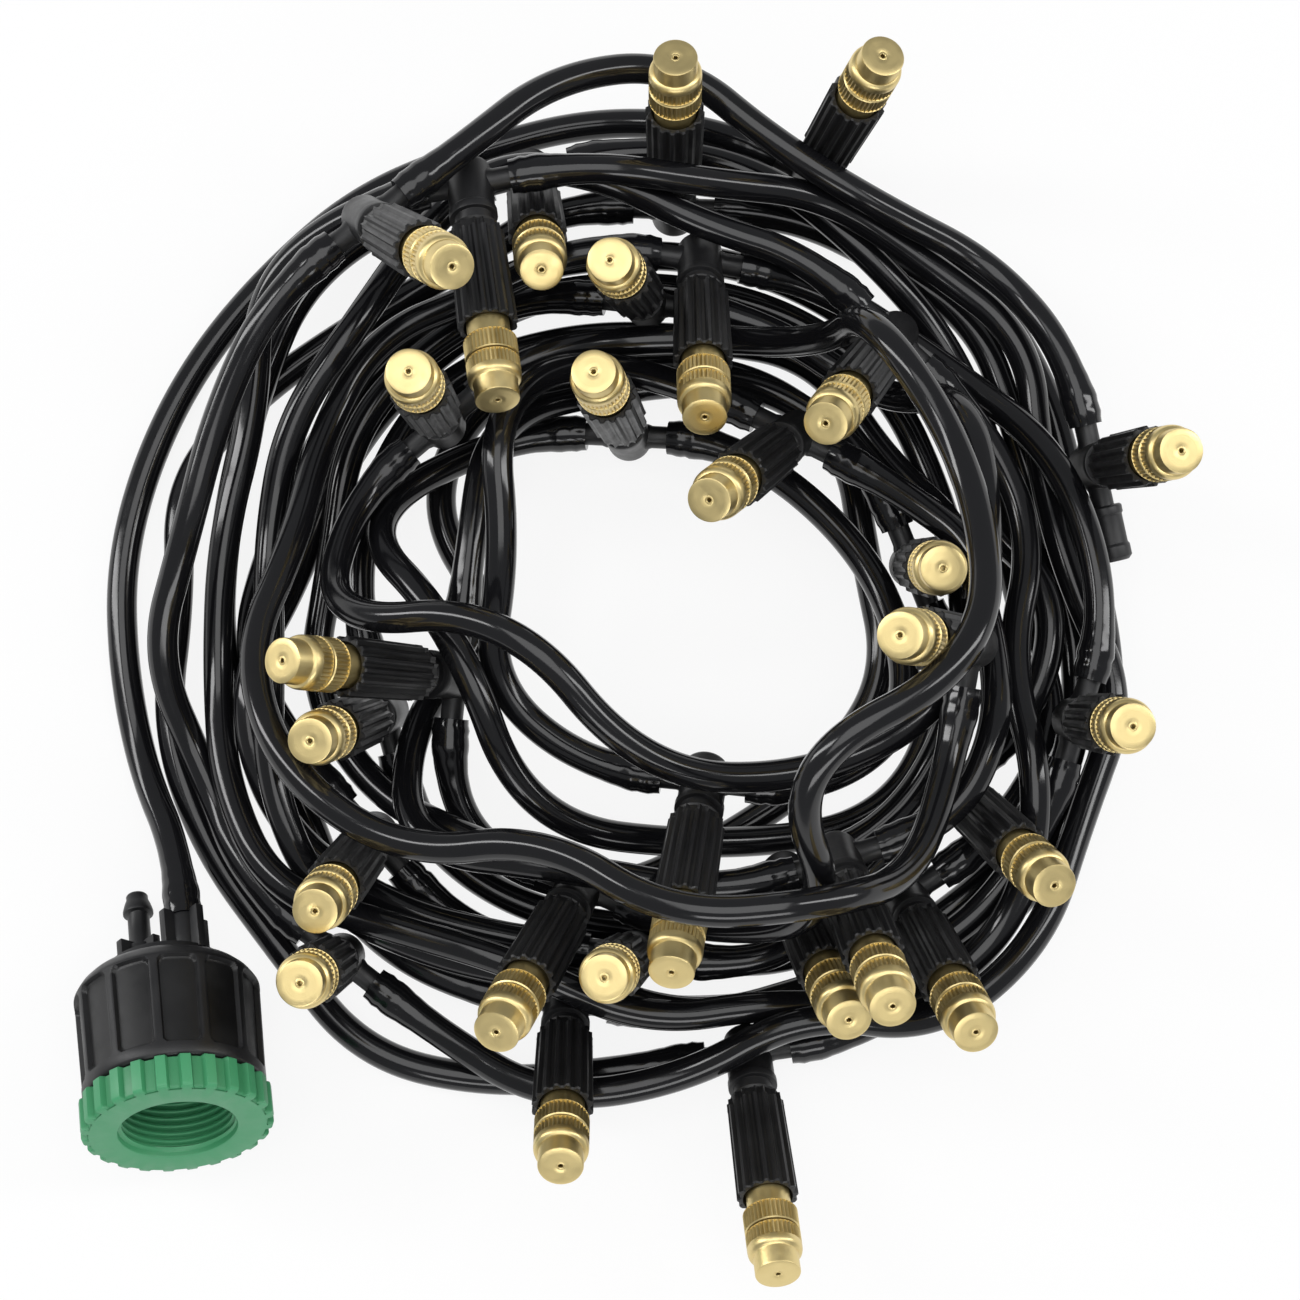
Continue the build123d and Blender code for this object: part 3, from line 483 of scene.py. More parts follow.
def flute(bm: BMesh, depth: float, height: Callable[[float, float], float], inside: float) -> None:
    """Sink the wall of a turned shape between its ribs, teeth or knurls, and set its crest
    attribute, which places the painted shade.

    Args:
        bm: The shape, turned about Z.
        depth: Depth of the grooves.
        height: Gives 1 on a rib and 0 down in the grooves for an angle and a height along Z.
        inside: Points nearer to the axis than this stay.
    """
    crest = attribute_layers(bm)[1]
    for vert in bm.verts:
        radius = math.hypot(vert.co.x, vert.co.y)
        if radius > inside:
            up = height(math.atan2(vert.co.y, vert.co.x), vert.co.z)
            shrink = (radius - depth * (1 - up)) / radius
            vert.co.xy *= shrink
            vert[crest] = up


def joined(parts: Iterable[BMesh]) -> BMesh:
    """Put several shapes in one, and free them."""
    whole = bmesh.new()
    attribute_layers(whole)
    for part in parts:
        mesh = bpy.data.meshes.new("part")
        part.to_mesh(mesh)
        part.free()
        whole.from_mesh(mesh)
        bpy.data.meshes.remove(mesh)
    return whole


def finished_mesh(bm: BMesh, name: str, sharp: float = CREASE_ANGLE) -> Mesh:
    """Turn a shape in millimetres into a smooth-shaded mesh in metres.

    Args:
        bm: The shape, freed by this.
        name: The mesh's name.
        sharp: Edges that turn by more than this many degrees stay sharp.

    Returns:
        The mesh.
    """
    bmesh.ops.scale(bm, vec=(MM, MM, MM), verts=bm.verts)
    mesh = bpy.data.meshes.new(name)
    bm.to_mesh(mesh)
    bm.free()
    shade_smooth(mesh, sharp)
    return mesh


def shade_smooth(mesh: Mesh, sharp: float) -> None:
    """Shade a mesh smooth, apart from edges that turn by more than that many degrees."""
    mesh.polygons.foreach_set("use_smooth", [True] * len(mesh.polygons))
    mesh.set_sharp_from_angle(angle=math.radians(sharp))


def copies(mesh: Mesh, places: Iterable[Matrix], name: str) -> Mesh:
    """One mesh that holds a copy of another at each place.

    Args:
        mesh: What is copied, removed by this.
        places: A matrix for each copy.
        name: The new mesh's name.

    Returns:
        The new mesh.
    """
    bm = bmesh.new()
    for place in places:
        copy = mesh.copy()
        copy.transform(place)
        bm.from_mesh(copy)
        bpy.data.meshes.remove(copy)
    whole = bpy.data.meshes.new(name)
    bm.to_mesh(whole)
    bm.free()
    bpy.data.meshes.remove(mesh)
    shade_smooth(whole, CREASE_ANGLE)
    return whole


def curve_along(
    name: str, kind: str, places: Sequence[Vector], points_each: int = 1
) -> tuple[Curve, Spline]:
    """A 3-D curve with one spline.

    Args:
        name: The curve's name.
        kind: POLY or NURBS.
        places: The spline's control points.
        points_each: Points traced for each control point.

    Returns:
        The curve and its spline.
    """
    curve = bpy.data.curves.new(name, "CURVE")
    curve.dimensions = "3D"
    curve.resolution_u = points_each
    spline = curve.splines.new(kind)
    spline.points.add(len(places) - 1)
    for point, place in zip(spline.points, places):
        point.co = (*place, 1.0)
    return curve, spline


def mesh_of(curve: Curve) -> Mesh:
    """Turn a curve into a mesh of the same name, and remove the curve."""
    carrier = bpy.data.objects.new(f"{curve.name}_form", curve)
    mesh = bpy.data.meshes.new_from_object(carrier)
    mesh.name = curve.name
    bpy.data.objects.remove(carrier)
    bpy.data.curves.remove(curve)
    return mesh


def linked(name: str, data: ID) -> Object:
    """A new object in the scene that shows a mesh, a lamp or a camera."""
    item = bpy.data.objects.new(name, data)
    bpy.context.scene.collection.objects.link(item)
    return item


def add_piece(
    name: str, mesh: Mesh, material: Material, slot: Slot, node: str, body: str
) -> Object:
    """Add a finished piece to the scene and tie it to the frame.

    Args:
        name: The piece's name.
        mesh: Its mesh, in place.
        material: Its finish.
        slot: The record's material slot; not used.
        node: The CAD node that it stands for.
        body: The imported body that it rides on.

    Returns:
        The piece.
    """
    mesh.materials.clear()
    mesh.materials.append(material)
    piece = linked(name, mesh)
    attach(piece, body)
    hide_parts(node)
    LOG.info("%s: %d faces, rides on %s", name, len(mesh.polygons), body)
    return piece


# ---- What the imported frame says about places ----


@dataclass(frozen=True)
class TeePlace:
    """Where one tee sits: its number, centre, arm direction and nozzle direction."""

    number: str
    origin: Vector
    arm: Vector
    nozzle: Vector

    @property
    def matrix(self) -> Matrix:
        """Matrix from the tee's own frame, X along its arms and Z along its nozzle."""
        return axes_matrix(self.origin, self.arm, self.nozzle)


@dataclass(frozen=True)
class HoseRoute:
    """One length of hose: the corners of its route, and the length of its packed tube."""

    node: str
    corners: list[Vector]
    length: float


@dataclass
class PackedLayout:
    """Places of the tees, the connector and the hoses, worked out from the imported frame."""

    frame: dict[str, Any]
    cap_height: float = 49.6
    neck_end: float = 18.0
    arm_end: float = 18.0
    arm_reach: float = 9.5
    mouth_depth: float = 41.2
    outlet: tuple[float, float, float] = (5.7, -5.3, 8.0)
    hose_radius: float = 3.5
    least_rim: int = 6
    clockwise: tuple[str, ...] = ("05", "07", "17")
    tees: list[TeePlace] = field(init=False)
    connector: Matrix = field(init=False)

    def __post_init__(self) -> None:
        """Find the connector and the tees."""
        self.connector = self.find_connector()
        self.tees = self.find_tees()

    def find_connector(self) -> Matrix:
        """Matrix from the connector's own frame, whose Z runs from the mouth to the outlets."""
        joint = next(j for j in self.frame["joints"] if j["name"] == "adapter_turn")
        outward = Vector(joint["axis"]).normalized()
        dome = Vector(joint["pos_m"]) - outward * self.mouth_depth * MM
        aim = math.atan2(outward.y, outward.x)
        return axes_matrix(dome, Vector((-math.sin(aim), math.cos(aim), 0.0)), -outward)

    def find_tees(self) -> list[TeePlace]:
        """Each tee's place: its cap's joint gives the nozzle, and its own mesh the arms.

        The arms' X axis runs anticlockwise round the coil, apart from the tees in clockwise. It
        settles which of a node's two hoses is numbered first.

        Returns:
            The places, in the order of the tees' numbers.
        """
        node = self.frame["nodes"]["tees"]
        islands = mesh_islands(node.data)
        places = []
        for joint in self.frame["joints"]:
            if joint["name"].startswith("cap_"):
                number = joint["name"].split("_")[1]
                nozzle = Vector(joint["axis"]).normalized()
                origin = Vector(joint["pos_m"]) - nozzle * self.cap_height * MM
                arm = self.arm_of(islands, origin, nozzle)
                if (arm.dot(Vector((-origin.y, origin.x, 0))) > 0) == (number in self.clockwise):
                    arm = -arm
                places.append(TeePlace(number, origin, arm, nozzle))
        return places

    def arm_of(self, islands: list[np.ndarray], origin: Vector, nozzle: Vector) -> Vector:
        """Direction of a tee's arms.

        Args:
            islands: The points of each separate tee.
            origin: The tee's centre.
            nozzle: Its nozzle's direction.

        Returns:
            A unit vector square to the nozzle.
        """
        neck = np.array(origin + nozzle * self.neck_end * MM)
        own = min(islands, key=lambda points: np.linalg.norm(points - neck, axis=1).min())
        axis = np.array(nozzle)
        out = own - np.array(origin)
        out = out - np.outer(out @ axis, axis)
        tips = out[np.linalg.norm(out, axis=1) > (self.arm_end - 0.1) * MM]
        tips = tips * np.sign(tips @ tips[0])[:, None]
        mean = tips.mean(axis=0)
        return Vector(mean - (mean @ axis) * axis).normalized()

    def hose_ends(self) -> list[tuple[Vector, Vector]]:
        """Each place where a hose may end, with the direction in which the hose leaves."""
        exit_point = self.connector @ (Vector(self.outlet) * MM)
        ends = [(exit_point, self.connector.to_3x3() @ Vector((0, 0, 1)))]
        for tee in self.tees:
            for side in (-1, 1):
                ends.append((tee.origin + tee.arm * side * self.arm_reach * MM, tee.arm * side))
        return ends

    def hose_routes(self) -> list[HoseRoute]:
        """The route of each length of hose, from the connector to the last tee."""
        ends = self.hose_ends()
        routes = []
        for name in sorted(n for n in self.frame["nodes"] if n.startswith("hose_")):
            routes += self.routes_in(name, ends)
        return routes

    def routes_in(self, name: str, ends: list[tuple[Vector, Vector]]) -> list[HoseRoute]:
        """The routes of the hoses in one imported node.

        Args:
            name: The node's name.
            ends: Places where a hose may end.

        Returns:
            A route for each hose in the node.
        """
        bm = bmesh.new()
        bm.from_mesh(self.frame["nodes"][name].data)
        bmesh.ops.remove_doubles(bm, verts=bm.verts, dist=WELD)
        bm.verts.index_update()
        bm.verts.ensure_lookup_table()
        places = np.array([vert.co for vert in bm.verts])
        rims = []
        for point, onward in ends:
            out = places - np.array(point)
            spread = np.linalg.norm(out, axis=1) - self.hose_radius * MM
            level = np.abs(out @ np.array(onward)) < ON_SURFACE
            disc = {bm.verts[i] for i in np.where(level & (spread < ON_SURFACE))[0]}
            rim = [bm.verts[i] for i in np.where(level & (abs(spread) < ON_SURFACE))[0]]
            if len(rim) >= self.least_rim:
                faces = {face for vert in disc for face in vert.link_faces}
                rims.append((rim, {face for face in faces if disc.issuperset(face.verts)}))
        bmesh.ops.delete(bm, geom=[face for _, disc in rims for face in disc], context="FACES")
        routes, reached = [], set()
        for rim, _ in rims:
            if rim[0] not in reached:
                rings = rings_from(rim)
                reached.update(*rings)
                routes.append(HoseRoute(name, *route_through([ring_frame(ring) for ring in rings])))
        bm.free()
        return routes


def mesh_islands(mesh: Mesh) -> list[np.ndarray]:
    """The points of each separate shell of a mesh, which is left as it is."""
    bm = bmesh.new()
    bm.from_mesh(mesh)
    bmesh.ops.remove_doubles(bm, verts=bm.verts, dist=WELD)
    islands, seen = [], set()
    for vert in bm.verts:
        if vert not in seen:
            shell = set().union(*rings_from([vert]))
            seen |= shell
            islands.append(np.array([tuple(v.co) for v in bm.verts if v in shell]))
    bm.free()
    return islands


def rings_from(rim: list[BMVert]) -> list[set[BMVert]]:
    """The rings of points along a tube's wall, one beyond the other, from its rim."""
    rings, seen = [set(rim)], set(rim)
    while rings[-1]:
        beyond = {edge.other_vert(vert) for vert in rings[-1] for edge in vert.link_edges} - seen
        seen |= beyond
        rings.append(beyond)
    return rings[:-1]


def ring_frame(ring: set[BMVert]) -> tuple[np.ndarray, np.ndarray]:
    """Centre of the circle through a ring of points, and the circle's axis."""
    points = np.array([tuple(v.co) for v in sorted(ring, key=lambda vert: vert.index)])
    middle = points.mean(axis=0)
    out = points - middle
    axis = np.linalg.svd(out)[2][2]
    table = np.hstack([2 * out, np.full((len(out), 1), 1e-3)])
    shift = np.linalg.lstsq(table, (out**2).sum(axis=1), rcond=1e-9)[0][:3]
    return middle + shift - (shift @ axis) * axis, axis


def route_through(frames: list[tuple[np.ndarray, np.ndarray]]) -> tuple[list[Vector], float]:
    """The corners of a route whose straight runs pass through a tube's rings.

    A run is straight between two rings whose axes agree. Two neighbouring runs meet in a corner.

    Args:
        frames: Centre and axis of each ring along the tube.

    Returns:
        The route's ends and corners, and the tube's length.
    """
    runs: list[list[np.ndarray]] = []
    for (start, axis), (end, next_axis) in zip(frames, frames[1:]):
        along = (end - start) / np.linalg.norm(end - start)
        if min(abs(axis @ next_axis), abs(along @ axis)) > STRAIGHT:
            if runs and runs[-1][1] is start:
                runs[-1][1] = end
            else:
                runs.append([start, end])
    corners = [Vector(runs[0][0])]
    for (before, arc_start), (arc_end, after) in zip(runs, runs[1:]):
        onward = (arc_start - before) / np.linalg.norm(arc_start - before)
        away = (after - arc_end) / np.linalg.norm(after - arc_end)
        half_turn = math.acos(max(-1.0, min(1.0, float(onward @ away)))) / 2
        reach = np.linalg.norm(arc_end - arc_start) / 2 / math.cos(half_turn)
        corners.append(Vector(arc_start + onward * reach))
    corners.append(Vector(runs[-1][1]))
    length = sum(float(np.linalg.norm(b[0] - a[0])) for a, b in zip(frames, frames[1:]))
    return corners, length


# ---- Hose ----


@dataclass
class Assembly:
    """What every sub-assembly is given: the places of its pieces and their main finish."""

    layout: PackedLayout
    finish: Material


@dataclass
class Hose(Assembly):
    """The black hose in its 28 lengths, stretched over the barbs at each end."""

    radius: float = 3.5
    points_each: int = 24
    round_detail: int = 6
    crease: float = 50.0
    stretch: Outline = (
        (0.0, 3.9), (1.6, 4.0), (2.6, 4.32), (3.4, 4.28), (4.3, 4.0), (5.6, 4.38), (6.6, 4.3),
        (9.5, 3.92), (14.0, 3.6), (19.0, 3.5),
    )

    def build(self) -> None:
        """Build every length."""
        for index, route in enumerate(self.layout.hose_routes(), start=1):
            name = f"hose_length_{index:02d}"
            line = self.centreline(name, route)
            mesh = self.tube(name, line)
            piece = add_piece(name, mesh, self.finish, Slot.HOSE, route.node, LINE)
            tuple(line[0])

    def centreline(self, name: str, route: HoseRoute) -> list[Vector]:
        """Points along a smooth line with the route's corners as its control points.

        Args:
            name: The hose's name.
            route: The hose's route.

        Returns:
            The points, from one end to the other.
        """
        curve, spline = curve_along(f"{name}_route", "NURBS", route.corners, self.points_each)
        spline.order_u = 3
        spline.use_endpoint_u = True
        traced = mesh_of(curve)
        line = [vert.co.copy() for vert in traced.vertices]
        bpy.data.meshes.remove(traced)
        return line

    def radius_at(self, distance: float) -> float:
        """The hose's radius at a distance from its nearer end, both in millimetres."""
        for (near, narrow), (far, wide) in zip(self.stretch, self.stretch[1:]):
            if distance < far:
                return narrow + (wide - narrow) * eased((distance - near) / (far - near))
        return self.radius

    def tube(self, name: str, line: list[Vector]) -> Mesh:
        """A round tube along a line, wider over the barb at each end.

        Args:
            name: The mesh's name.
            line: Points of the centreline.

        Returns:
            The tube's mesh.
        """
        travelled = [0.0]
        for before, after in zip(line, line[1:]):
            travelled.append(travelled[-1] + (after - before).length)
        curve, spline = curve_along(name, "POLY", line)
        curve.bevel_depth = self.radius * MM
        curve.bevel_resolution = self.round_detail
        curve.use_fill_caps = True
        for point, distance in zip(spline.points, travelled):
            nearer = min(distance, travelled[-1] - distance) / MM
            point.radius = self.radius_at(nearer) / self.radius
        mesh = mesh_of(curve)
        bm = bmesh.new()
        bm.from_mesh(mesh)
        bmesh.ops.remove_doubles(bm, verts=bm.verts, dist=WELD)
        bmesh.ops.recalc_face_normals(bm, faces=bm.faces)
        crest = attribute_layers(bm)[1]
        for vert in bm.verts:
            vert[crest] = 1.0
        bm.to_mesh(mesh)
        bm.free()
        shade_smooth(mesh, self.crease)
        return mesh


# ---- Tees, nozzles and the closed end ----


@dataclass
class Tees(Assembly):
    """The black tees: a round head with a collar, two arms and a neck for the holder."""

    head_radius: float = 5.2
    head_bottom: float = 5.0
    collar_radius: float = 5.5
    collar_base: float = 7.8
    head_top: float = 10.0
    neck_radius: float = 4.4
    neck_top: float = 13.4
    arm_radius: float = 2.6
    arm_reach: float = 9.5
    arm_cover: float = 0.3
    arm_root: float = 3.2
    arm_steps: int = 24
    steps: int = 40
    end_cap_radius: float = 4.2
    end_cap_length: float = 13.0

    def head(self) -> BMesh:
        """The head, collar and neck about Z."""
        radius, bottom, top = self.head_radius, -self.head_bottom, self.head_top
        outline = (
            (0.0, bottom), (radius - 1.5, bottom), (radius - 0.75, bottom + 0.2),
            (radius - 0.2, bottom + 0.75), (radius, bottom + 1.5), (radius, self.collar_base),
            (self.collar_radius, self.collar_base + 0.2), (self.collar_radius, top),
            (self.neck_radius, top), (self.neck_radius, self.neck_top), (0.0, self.neck_top),
        )
        return lathe(outline, self.steps, soften=0.22)

    def arms(self) -> BMesh:
        """Both arms along X, with a small flare where they leave the head."""
        radius, root, reach = self.arm_radius, self.arm_root, self.arm_reach + self.arm_cover
        half = [(radius + 0.35, root + 1.6), (radius, root + 2.6), (radius, reach), (0.0, reach)]
        bm = lathe([(out, -along) for out, along in reversed(half)] + half, self.arm_steps)
        spun(bm, 90, "Y")
        return bm

    def closing_cap(self) -> None:
        """The closed sleeve on the last tee's free arm."""
        middle = sum(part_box("end_cap"), Vector()) / 2
        half = self.end_cap_length / 2 * MM
        ends = self.layout.hose_ends()[1:]
        end, onward = min(ends, key=lambda pair: (pair[0] + pair[1] * half - middle).length)
        radius, length = self.end_cap_radius, self.end_cap_length
        outline = (
            (0.0, 0.0), (radius - 0.4, 0.0), (radius, 0.4), (radius, 2.0), (radius - 0.35, 2.4),
            (radius - 0.35, length - 4.0), (radius, length - 3.4), (radius, length - 0.9),
            (radius - 0.9, length), (0.0, length),
        )
        mesh = finished_mesh(lathe(outline, self.steps, soften=0.12), "end_cap_form")
        mesh.transform(axes_matrix(end, onward.orthogonal().normalized(), onward))
        add_piece("closed_end", mesh, self.finish, Slot.FITTING, "end_cap", LINE)

    def build(self) -> None:
        """Build the tees as one piece, and the closed end."""
        mesh = finished_mesh(joined([self.head(), self.arms()]), "tee_form")
        whole = copies(mesh, [tee.matrix for tee in self.layout.tees], "tee_fittings")
        add_piece("tee_fittings", whole, self.finish, Slot.FITTING, "tees", LINE)
        self.closing_cap()


@dataclass
class Nozzles(Assembly):
    """What each tee carries: a ribbed holder, a brass stem and a brass cap that turns."""

    brass: Material
    holder_base: float = 13.0
    holder_top: float = 40.0
    holder_radius: float = 6.1
    rib_radius: float = 6.75
    rib_count: int = 16
    rib_starts: tuple[float, float] = (2.7, 0.95)
    holder_mouth: float = 5.5
    holder_bore: float = 4.86
    stem_radius: float = 4.8
    knurl_radius: float = 6.0
    knurl_count: int = 38
    knurl_depth: float = 0.34
    ring_base: float = 44.0
    ring_top: float = 49.2
    spindle_radius: float = 3.6
    cap_base: float = 49.6
    nose_radius: float = 4.95
    tip: float = 60.0
    cap_bore: float = 3.7
    orifice: float = 0.5

    def holder(self) -> BMesh:
        """The ribbed black sleeve, slightly wider towards the brass."""
        base, top, rib = self.holder_base, self.holder_top, self.rib_radius
        narrow, start, bore = self.holder_radius - 0.35, rib - 0.45, self.holder_bore
        outline = [
            (self.holder_radius - 1.7, base), (narrow - 0.3, base), (narrow, base + 0.5),
            (start, base + 0.9), (start, base + 1.0), (start + 0.04, base + 2.6),
            (start + 0.06, base + 2.8),
        ]
        for share in (0.0, 0.25, 0.5, 0.75, 1.0):
            rise = base + 3 + (top - base - 3.35) * share
            outline.append((start + (rib - start) * share, rise))
        outline += [
            (rib - 0.35, top), (self.holder_mouth, top), (bore, top - 1.4), (bore, top - 4.0),
            (0.0, top - 4.0),
        ]
        bm = lathe(outline, 4 * self.rib_count)

        def rib_height(angle: float, height: float) -> float:
            """1 on a rib and 0 between ribs, whose ends are staggered."""
            wave = math.cos(self.rib_count * angle + math.pi / 4)
            index = int((angle + math.tau) / math.tau * self.rib_count)
            first = base + self.rib_starts[index % 2]
            return 1.0 if wave > 0 and height >= first else 0.0

        # Painted shade: the crest attribute darkens the sunk strips between the ribs.
        flute(bm, rib - self.holder_radius + 0.05, rib_height, self.holder_mouth + 0.1)
        return bm

    def knurled(self, low: float, high: float) -> Callable[[float, float], float]:
        """Height of a straight knurl between two heights along Z."""

        def knurl_height(angle: float, height: float) -> float:
            """1 on a crest and 0 down in the grooves, which take the painted shade."""
            if not low <= height <= high:
                return 1.0
            return 0.5 + 0.5 * math.cos(self.knurl_count * angle)

        return knurl_height

    def stem(self) -> BMesh:
        """The brass barrel with its knurled ring and the spindle inside the cap."""
        radius, knurl, spindle = self.stem_radius, self.knurl_radius, self.spindle_radius
        start, base, top = self.holder_top - 3.9, self.ring_base, self.ring_top
        outline = (
            (0.0, start), (radius, start), (radius, base), (knurl - 0.4, base),
            (knurl, base + 0.35), (knurl, base + 0.4), (knurl, top - 0.3), (knurl, top - 0.25),
            (knurl - 0.25, top), (spindle, top), (spindle, top + 6.0), (spindle - 1.0, top + 7.4),
            (0.0, top + 7.4),
        )
        bm = lathe(outline, 2 * self.knurl_count)
        flute(bm, self.knurl_depth, self.knurled(base + 0.38, top - 0.28), radius + 0.5)
        return bm

    def cap(self) -> BMesh:
        """The brass cap: knurled skirt, smooth shoulder and a nose with its orifice."""
        base, knurl, nose, tip = self.cap_base, self.knurl_radius, self.nose_radius, self.tip
        bore, hole, floor = self.cap_bore, self.orifice, self.tip - 2.4
        outline = (
            (bore, base), (knurl - 0.25, base), (knurl, base + 0.25), (knurl, base + 0.3),
            (knurl, base + 3.5), (knurl, base + 3.55), (knurl, base + 3.9),
            (knurl - 0.04, base + 4.6), (knurl - 0.2, base + 5.2), (knurl - 0.5, base + 5.6),
            (nose + 0.08, base + 5.85), (nose, base + 6.1), (nose, tip - 0.35),
            (nose - 0.1, tip - 0.1), (nose - 0.35, tip), (3.4, tip), (2.1, tip), (1.15, tip),
            (1.0, tip - 0.07), (0.85, tip), (hole + 0.15, tip), (hole, tip - 0.15),
            (hole, floor), (bore, floor),
        )
        bm = lathe(outline, 2 * self.knurl_count, ring=True)
        flute(bm, self.knurl_depth, self.knurled(base + 0.28, base + 3.52), nose + 0.6)
        # Painted shade: the bore and the orifice inside the nose get crest 0, so they take the
        # darker shade colour of the brass.
        crest = attribute_layers(bm)[1]
        for vert in bm.verts:
            if vert.co.z < tip - 0.2 and math.hypot(vert.co.x, vert.co.y) < 3.0:
                vert[crest] = 0.0
        return bm

    def build(self) -> None:
        """Build the holders and stems as one piece each, and every cap on its own body."""
        places = [tee.matrix for tee in self.layout.tees]
        holders = copies(finished_mesh(self.holder(), "holder_form"), places, "ribbed_holders")
        add_piece("ribbed_holders", holders, self.finish, Slot.FITTING, "nozzle_holders", LINE)
        stems = copies(finished_mesh(self.stem(), "stem_form"), places, "brass_stems")
        add_piece("brass_stems", stems, self.brass, Slot.BRASS, "nozzle_stems", LINE)
        form = finished_mesh(self.cap(), "cap_form")
        for tee in self.layout.tees:
            mesh = form.copy()
            mesh.transform(tee.matrix)
            name, node = f"brass_cap_{tee.number}", f"nozzle_cap_{tee.number}"
            add_piece(name, mesh, self.brass, Slot.BRASS, node, f"cap_{tee.number}")
        bpy.data.meshes.remove(form)


# ---- Tap connector ----


@dataclass
class TapBody(Assembly):
    """The connector's black body: a panelled shell, two outlets and a spare barb."""

    shell_bottom: float = -33.0
    skirt_top_radius: float = 20.6
    skirt_taper: float = 0.45
    socket_radius: float = 16.5
    socket_top: float = -19.0
    chamber_radius: float = 12.0
    rib_count: int = 12
    rib_width: float = 1.7
    panel_top: float = -8.6
    panel_bottom: float = -29.9
    panel_depth: float = 1.15
    panel_corner: float = 1.7
    panel_slope: float = 0.45
    steps_each: int = 34
    rows: int = 60
    lid_radius: float = 13.6
    lid_top: float = -1.3
    lid_thickness: float = 1.3
    ceiling: float = -5.2
    boss_radius: float = 3.6
    boss_height: float = 8.0
    boss_steps: int = 32
    fin_length: float = 12.2
    fin_width: float = 2.0
    fin_over: float = 0.7
    barb_height: float = 13.8
    barb_steps: int = 36
    crease: float = 40.0

    def skirt_radius(self, height: float) -> float:
        """Radius of the shell's ribs at a height."""
        share = (self.panel_top - height) / (self.panel_top - self.panel_bottom)
        return self.skirt_top_radius - self.skirt_taper * share

    def shell(self) -> BMesh:
        """The domed shell, hollow below, with sunk panels between its ribs."""
        lid, lid_top, edge = self.lid_radius, self.lid_top, self.lid_top - self.lid_thickness
        outline = [
            (0.0, lid_top), (lid - 0.5, lid_top), (lid - 0.1, lid_top - 0.15), (lid, lid_top - 0.5),
            (lid, edge + 0.1), (lid - 0.6, edge - 0.1), (lid - 0.5, edge - 0.5), (14.6, -3.6),
            (16.6, -4.2), (18.3, -5.2), (19.5, -6.4), (20.2, -7.5),
        ]
        step = (self.panel_top - self.panel_bottom) / self.rows
        for row in range(self.rows + 3):
            height = self.panel_top + step - step * row
            outline.append((self.skirt_radius(height), height))
        bottom, socket, chamber = self.shell_bottom, self.socket_radius, self.chamber_radius
        outline += [
            (20.1, bottom + 0.9), (19.7, bottom + 0.25), (19.2, bottom), (socket, bottom),
            (socket, self.socket_top), (chamber, self.socket_top), (chamber, self.ceiling),
            (0.0, self.ceiling),
        ]
        bm = lathe(outline, self.rib_count * self.steps_each)
        # Painted shade: the crest attribute darkens the sunk panels between the ribs.
        flute(bm, self.panel_depth, self.rib_height, socket + 2.0)
        return bm

    def rib_height(self, angle: float, height: float) -> float:
        """1 on a rib or rim and 0 inside a panel, whose corners are round."""
        pitch = math.tau / self.rib_count
        off = abs((angle / pitch) % 1 - 0.5) * pitch * self.skirt_radius(height)
        half_width = (pitch * self.skirt_radius(height) - self.rib_width) / 2
        middle = (self.panel_top + self.panel_bottom) / 2
        half_height = (self.panel_top - self.panel_bottom) / 2
        corner = self.panel_corner
        over_x = off - half_width + corner
        over_z = abs(height - middle) - half_height + corner
        inward = min(max(over_x, over_z), 0.0) - corner
        outside = math.hypot(max(over_x, 0.0), max(over_z, 0.0)) + inward
        return eased((outside + self.panel_slope) / self.panel_slope)

    def boss(self, x: float, y: float) -> list[BMesh]:
        """The finned boss under an outlet."""
        low, high, radius = -2.0, self.boss_height, self.boss_radius
        outline = ((0.0, low), (radius, low), (radius, high), (0.0, high))
        column = lathe(outline, self.boss_steps, soften=0.3)
        bmesh.ops.translate(column, vec=(x, y, 0), verts=column.verts)
        tall = high - low + self.fin_over
        size = (self.fin_length, self.fin_width, tall)
        centre = (x, y, low + tall / 2)
        return [column] + [block(size, centre, turn, 0.25) for turn in (45, -45)]

    def barb(self, x: float, y: float) -> BMesh:
        """The spare outlet's barb."""
        base, tip = self.boss_height - 0.5, self.boss_height + self.barb_height
        outline = (
            (0.0, base), (2.9, base), (2.55, base + 0.9), (2.5, tip - 5.2), (3.45, tip - 5.0),
            (3.45, tip - 4.2), (3.0, tip - 2.6), (2.45, tip - 1.2), (2.5, tip - 0.4), (2.2, tip),
            (1.4, tip), (1.4, tip - 4.0), (0.0, tip - 4.0),
        )
        bm = lathe(outline, self.barb_steps, soften=0.1)
        bmesh.ops.translate(bm, vec=(x, y, 0), verts=bm.verts)
        return bm

    def build(self) -> None:
        """Build the body as one piece."""
        x, y = self.layout.outlet[:2]
        parts = [self.shell(), *self.boss(x, y), *self.boss(-x, -y), self.barb(-x, -y)]
        mesh = finished_mesh(joined(parts), "tap_body_form", self.crease)
        mesh.transform(self.layout.connector)
        add_piece("tap_connector_body", mesh, self.finish, Slot.FITTING, "tap_body", LINE)


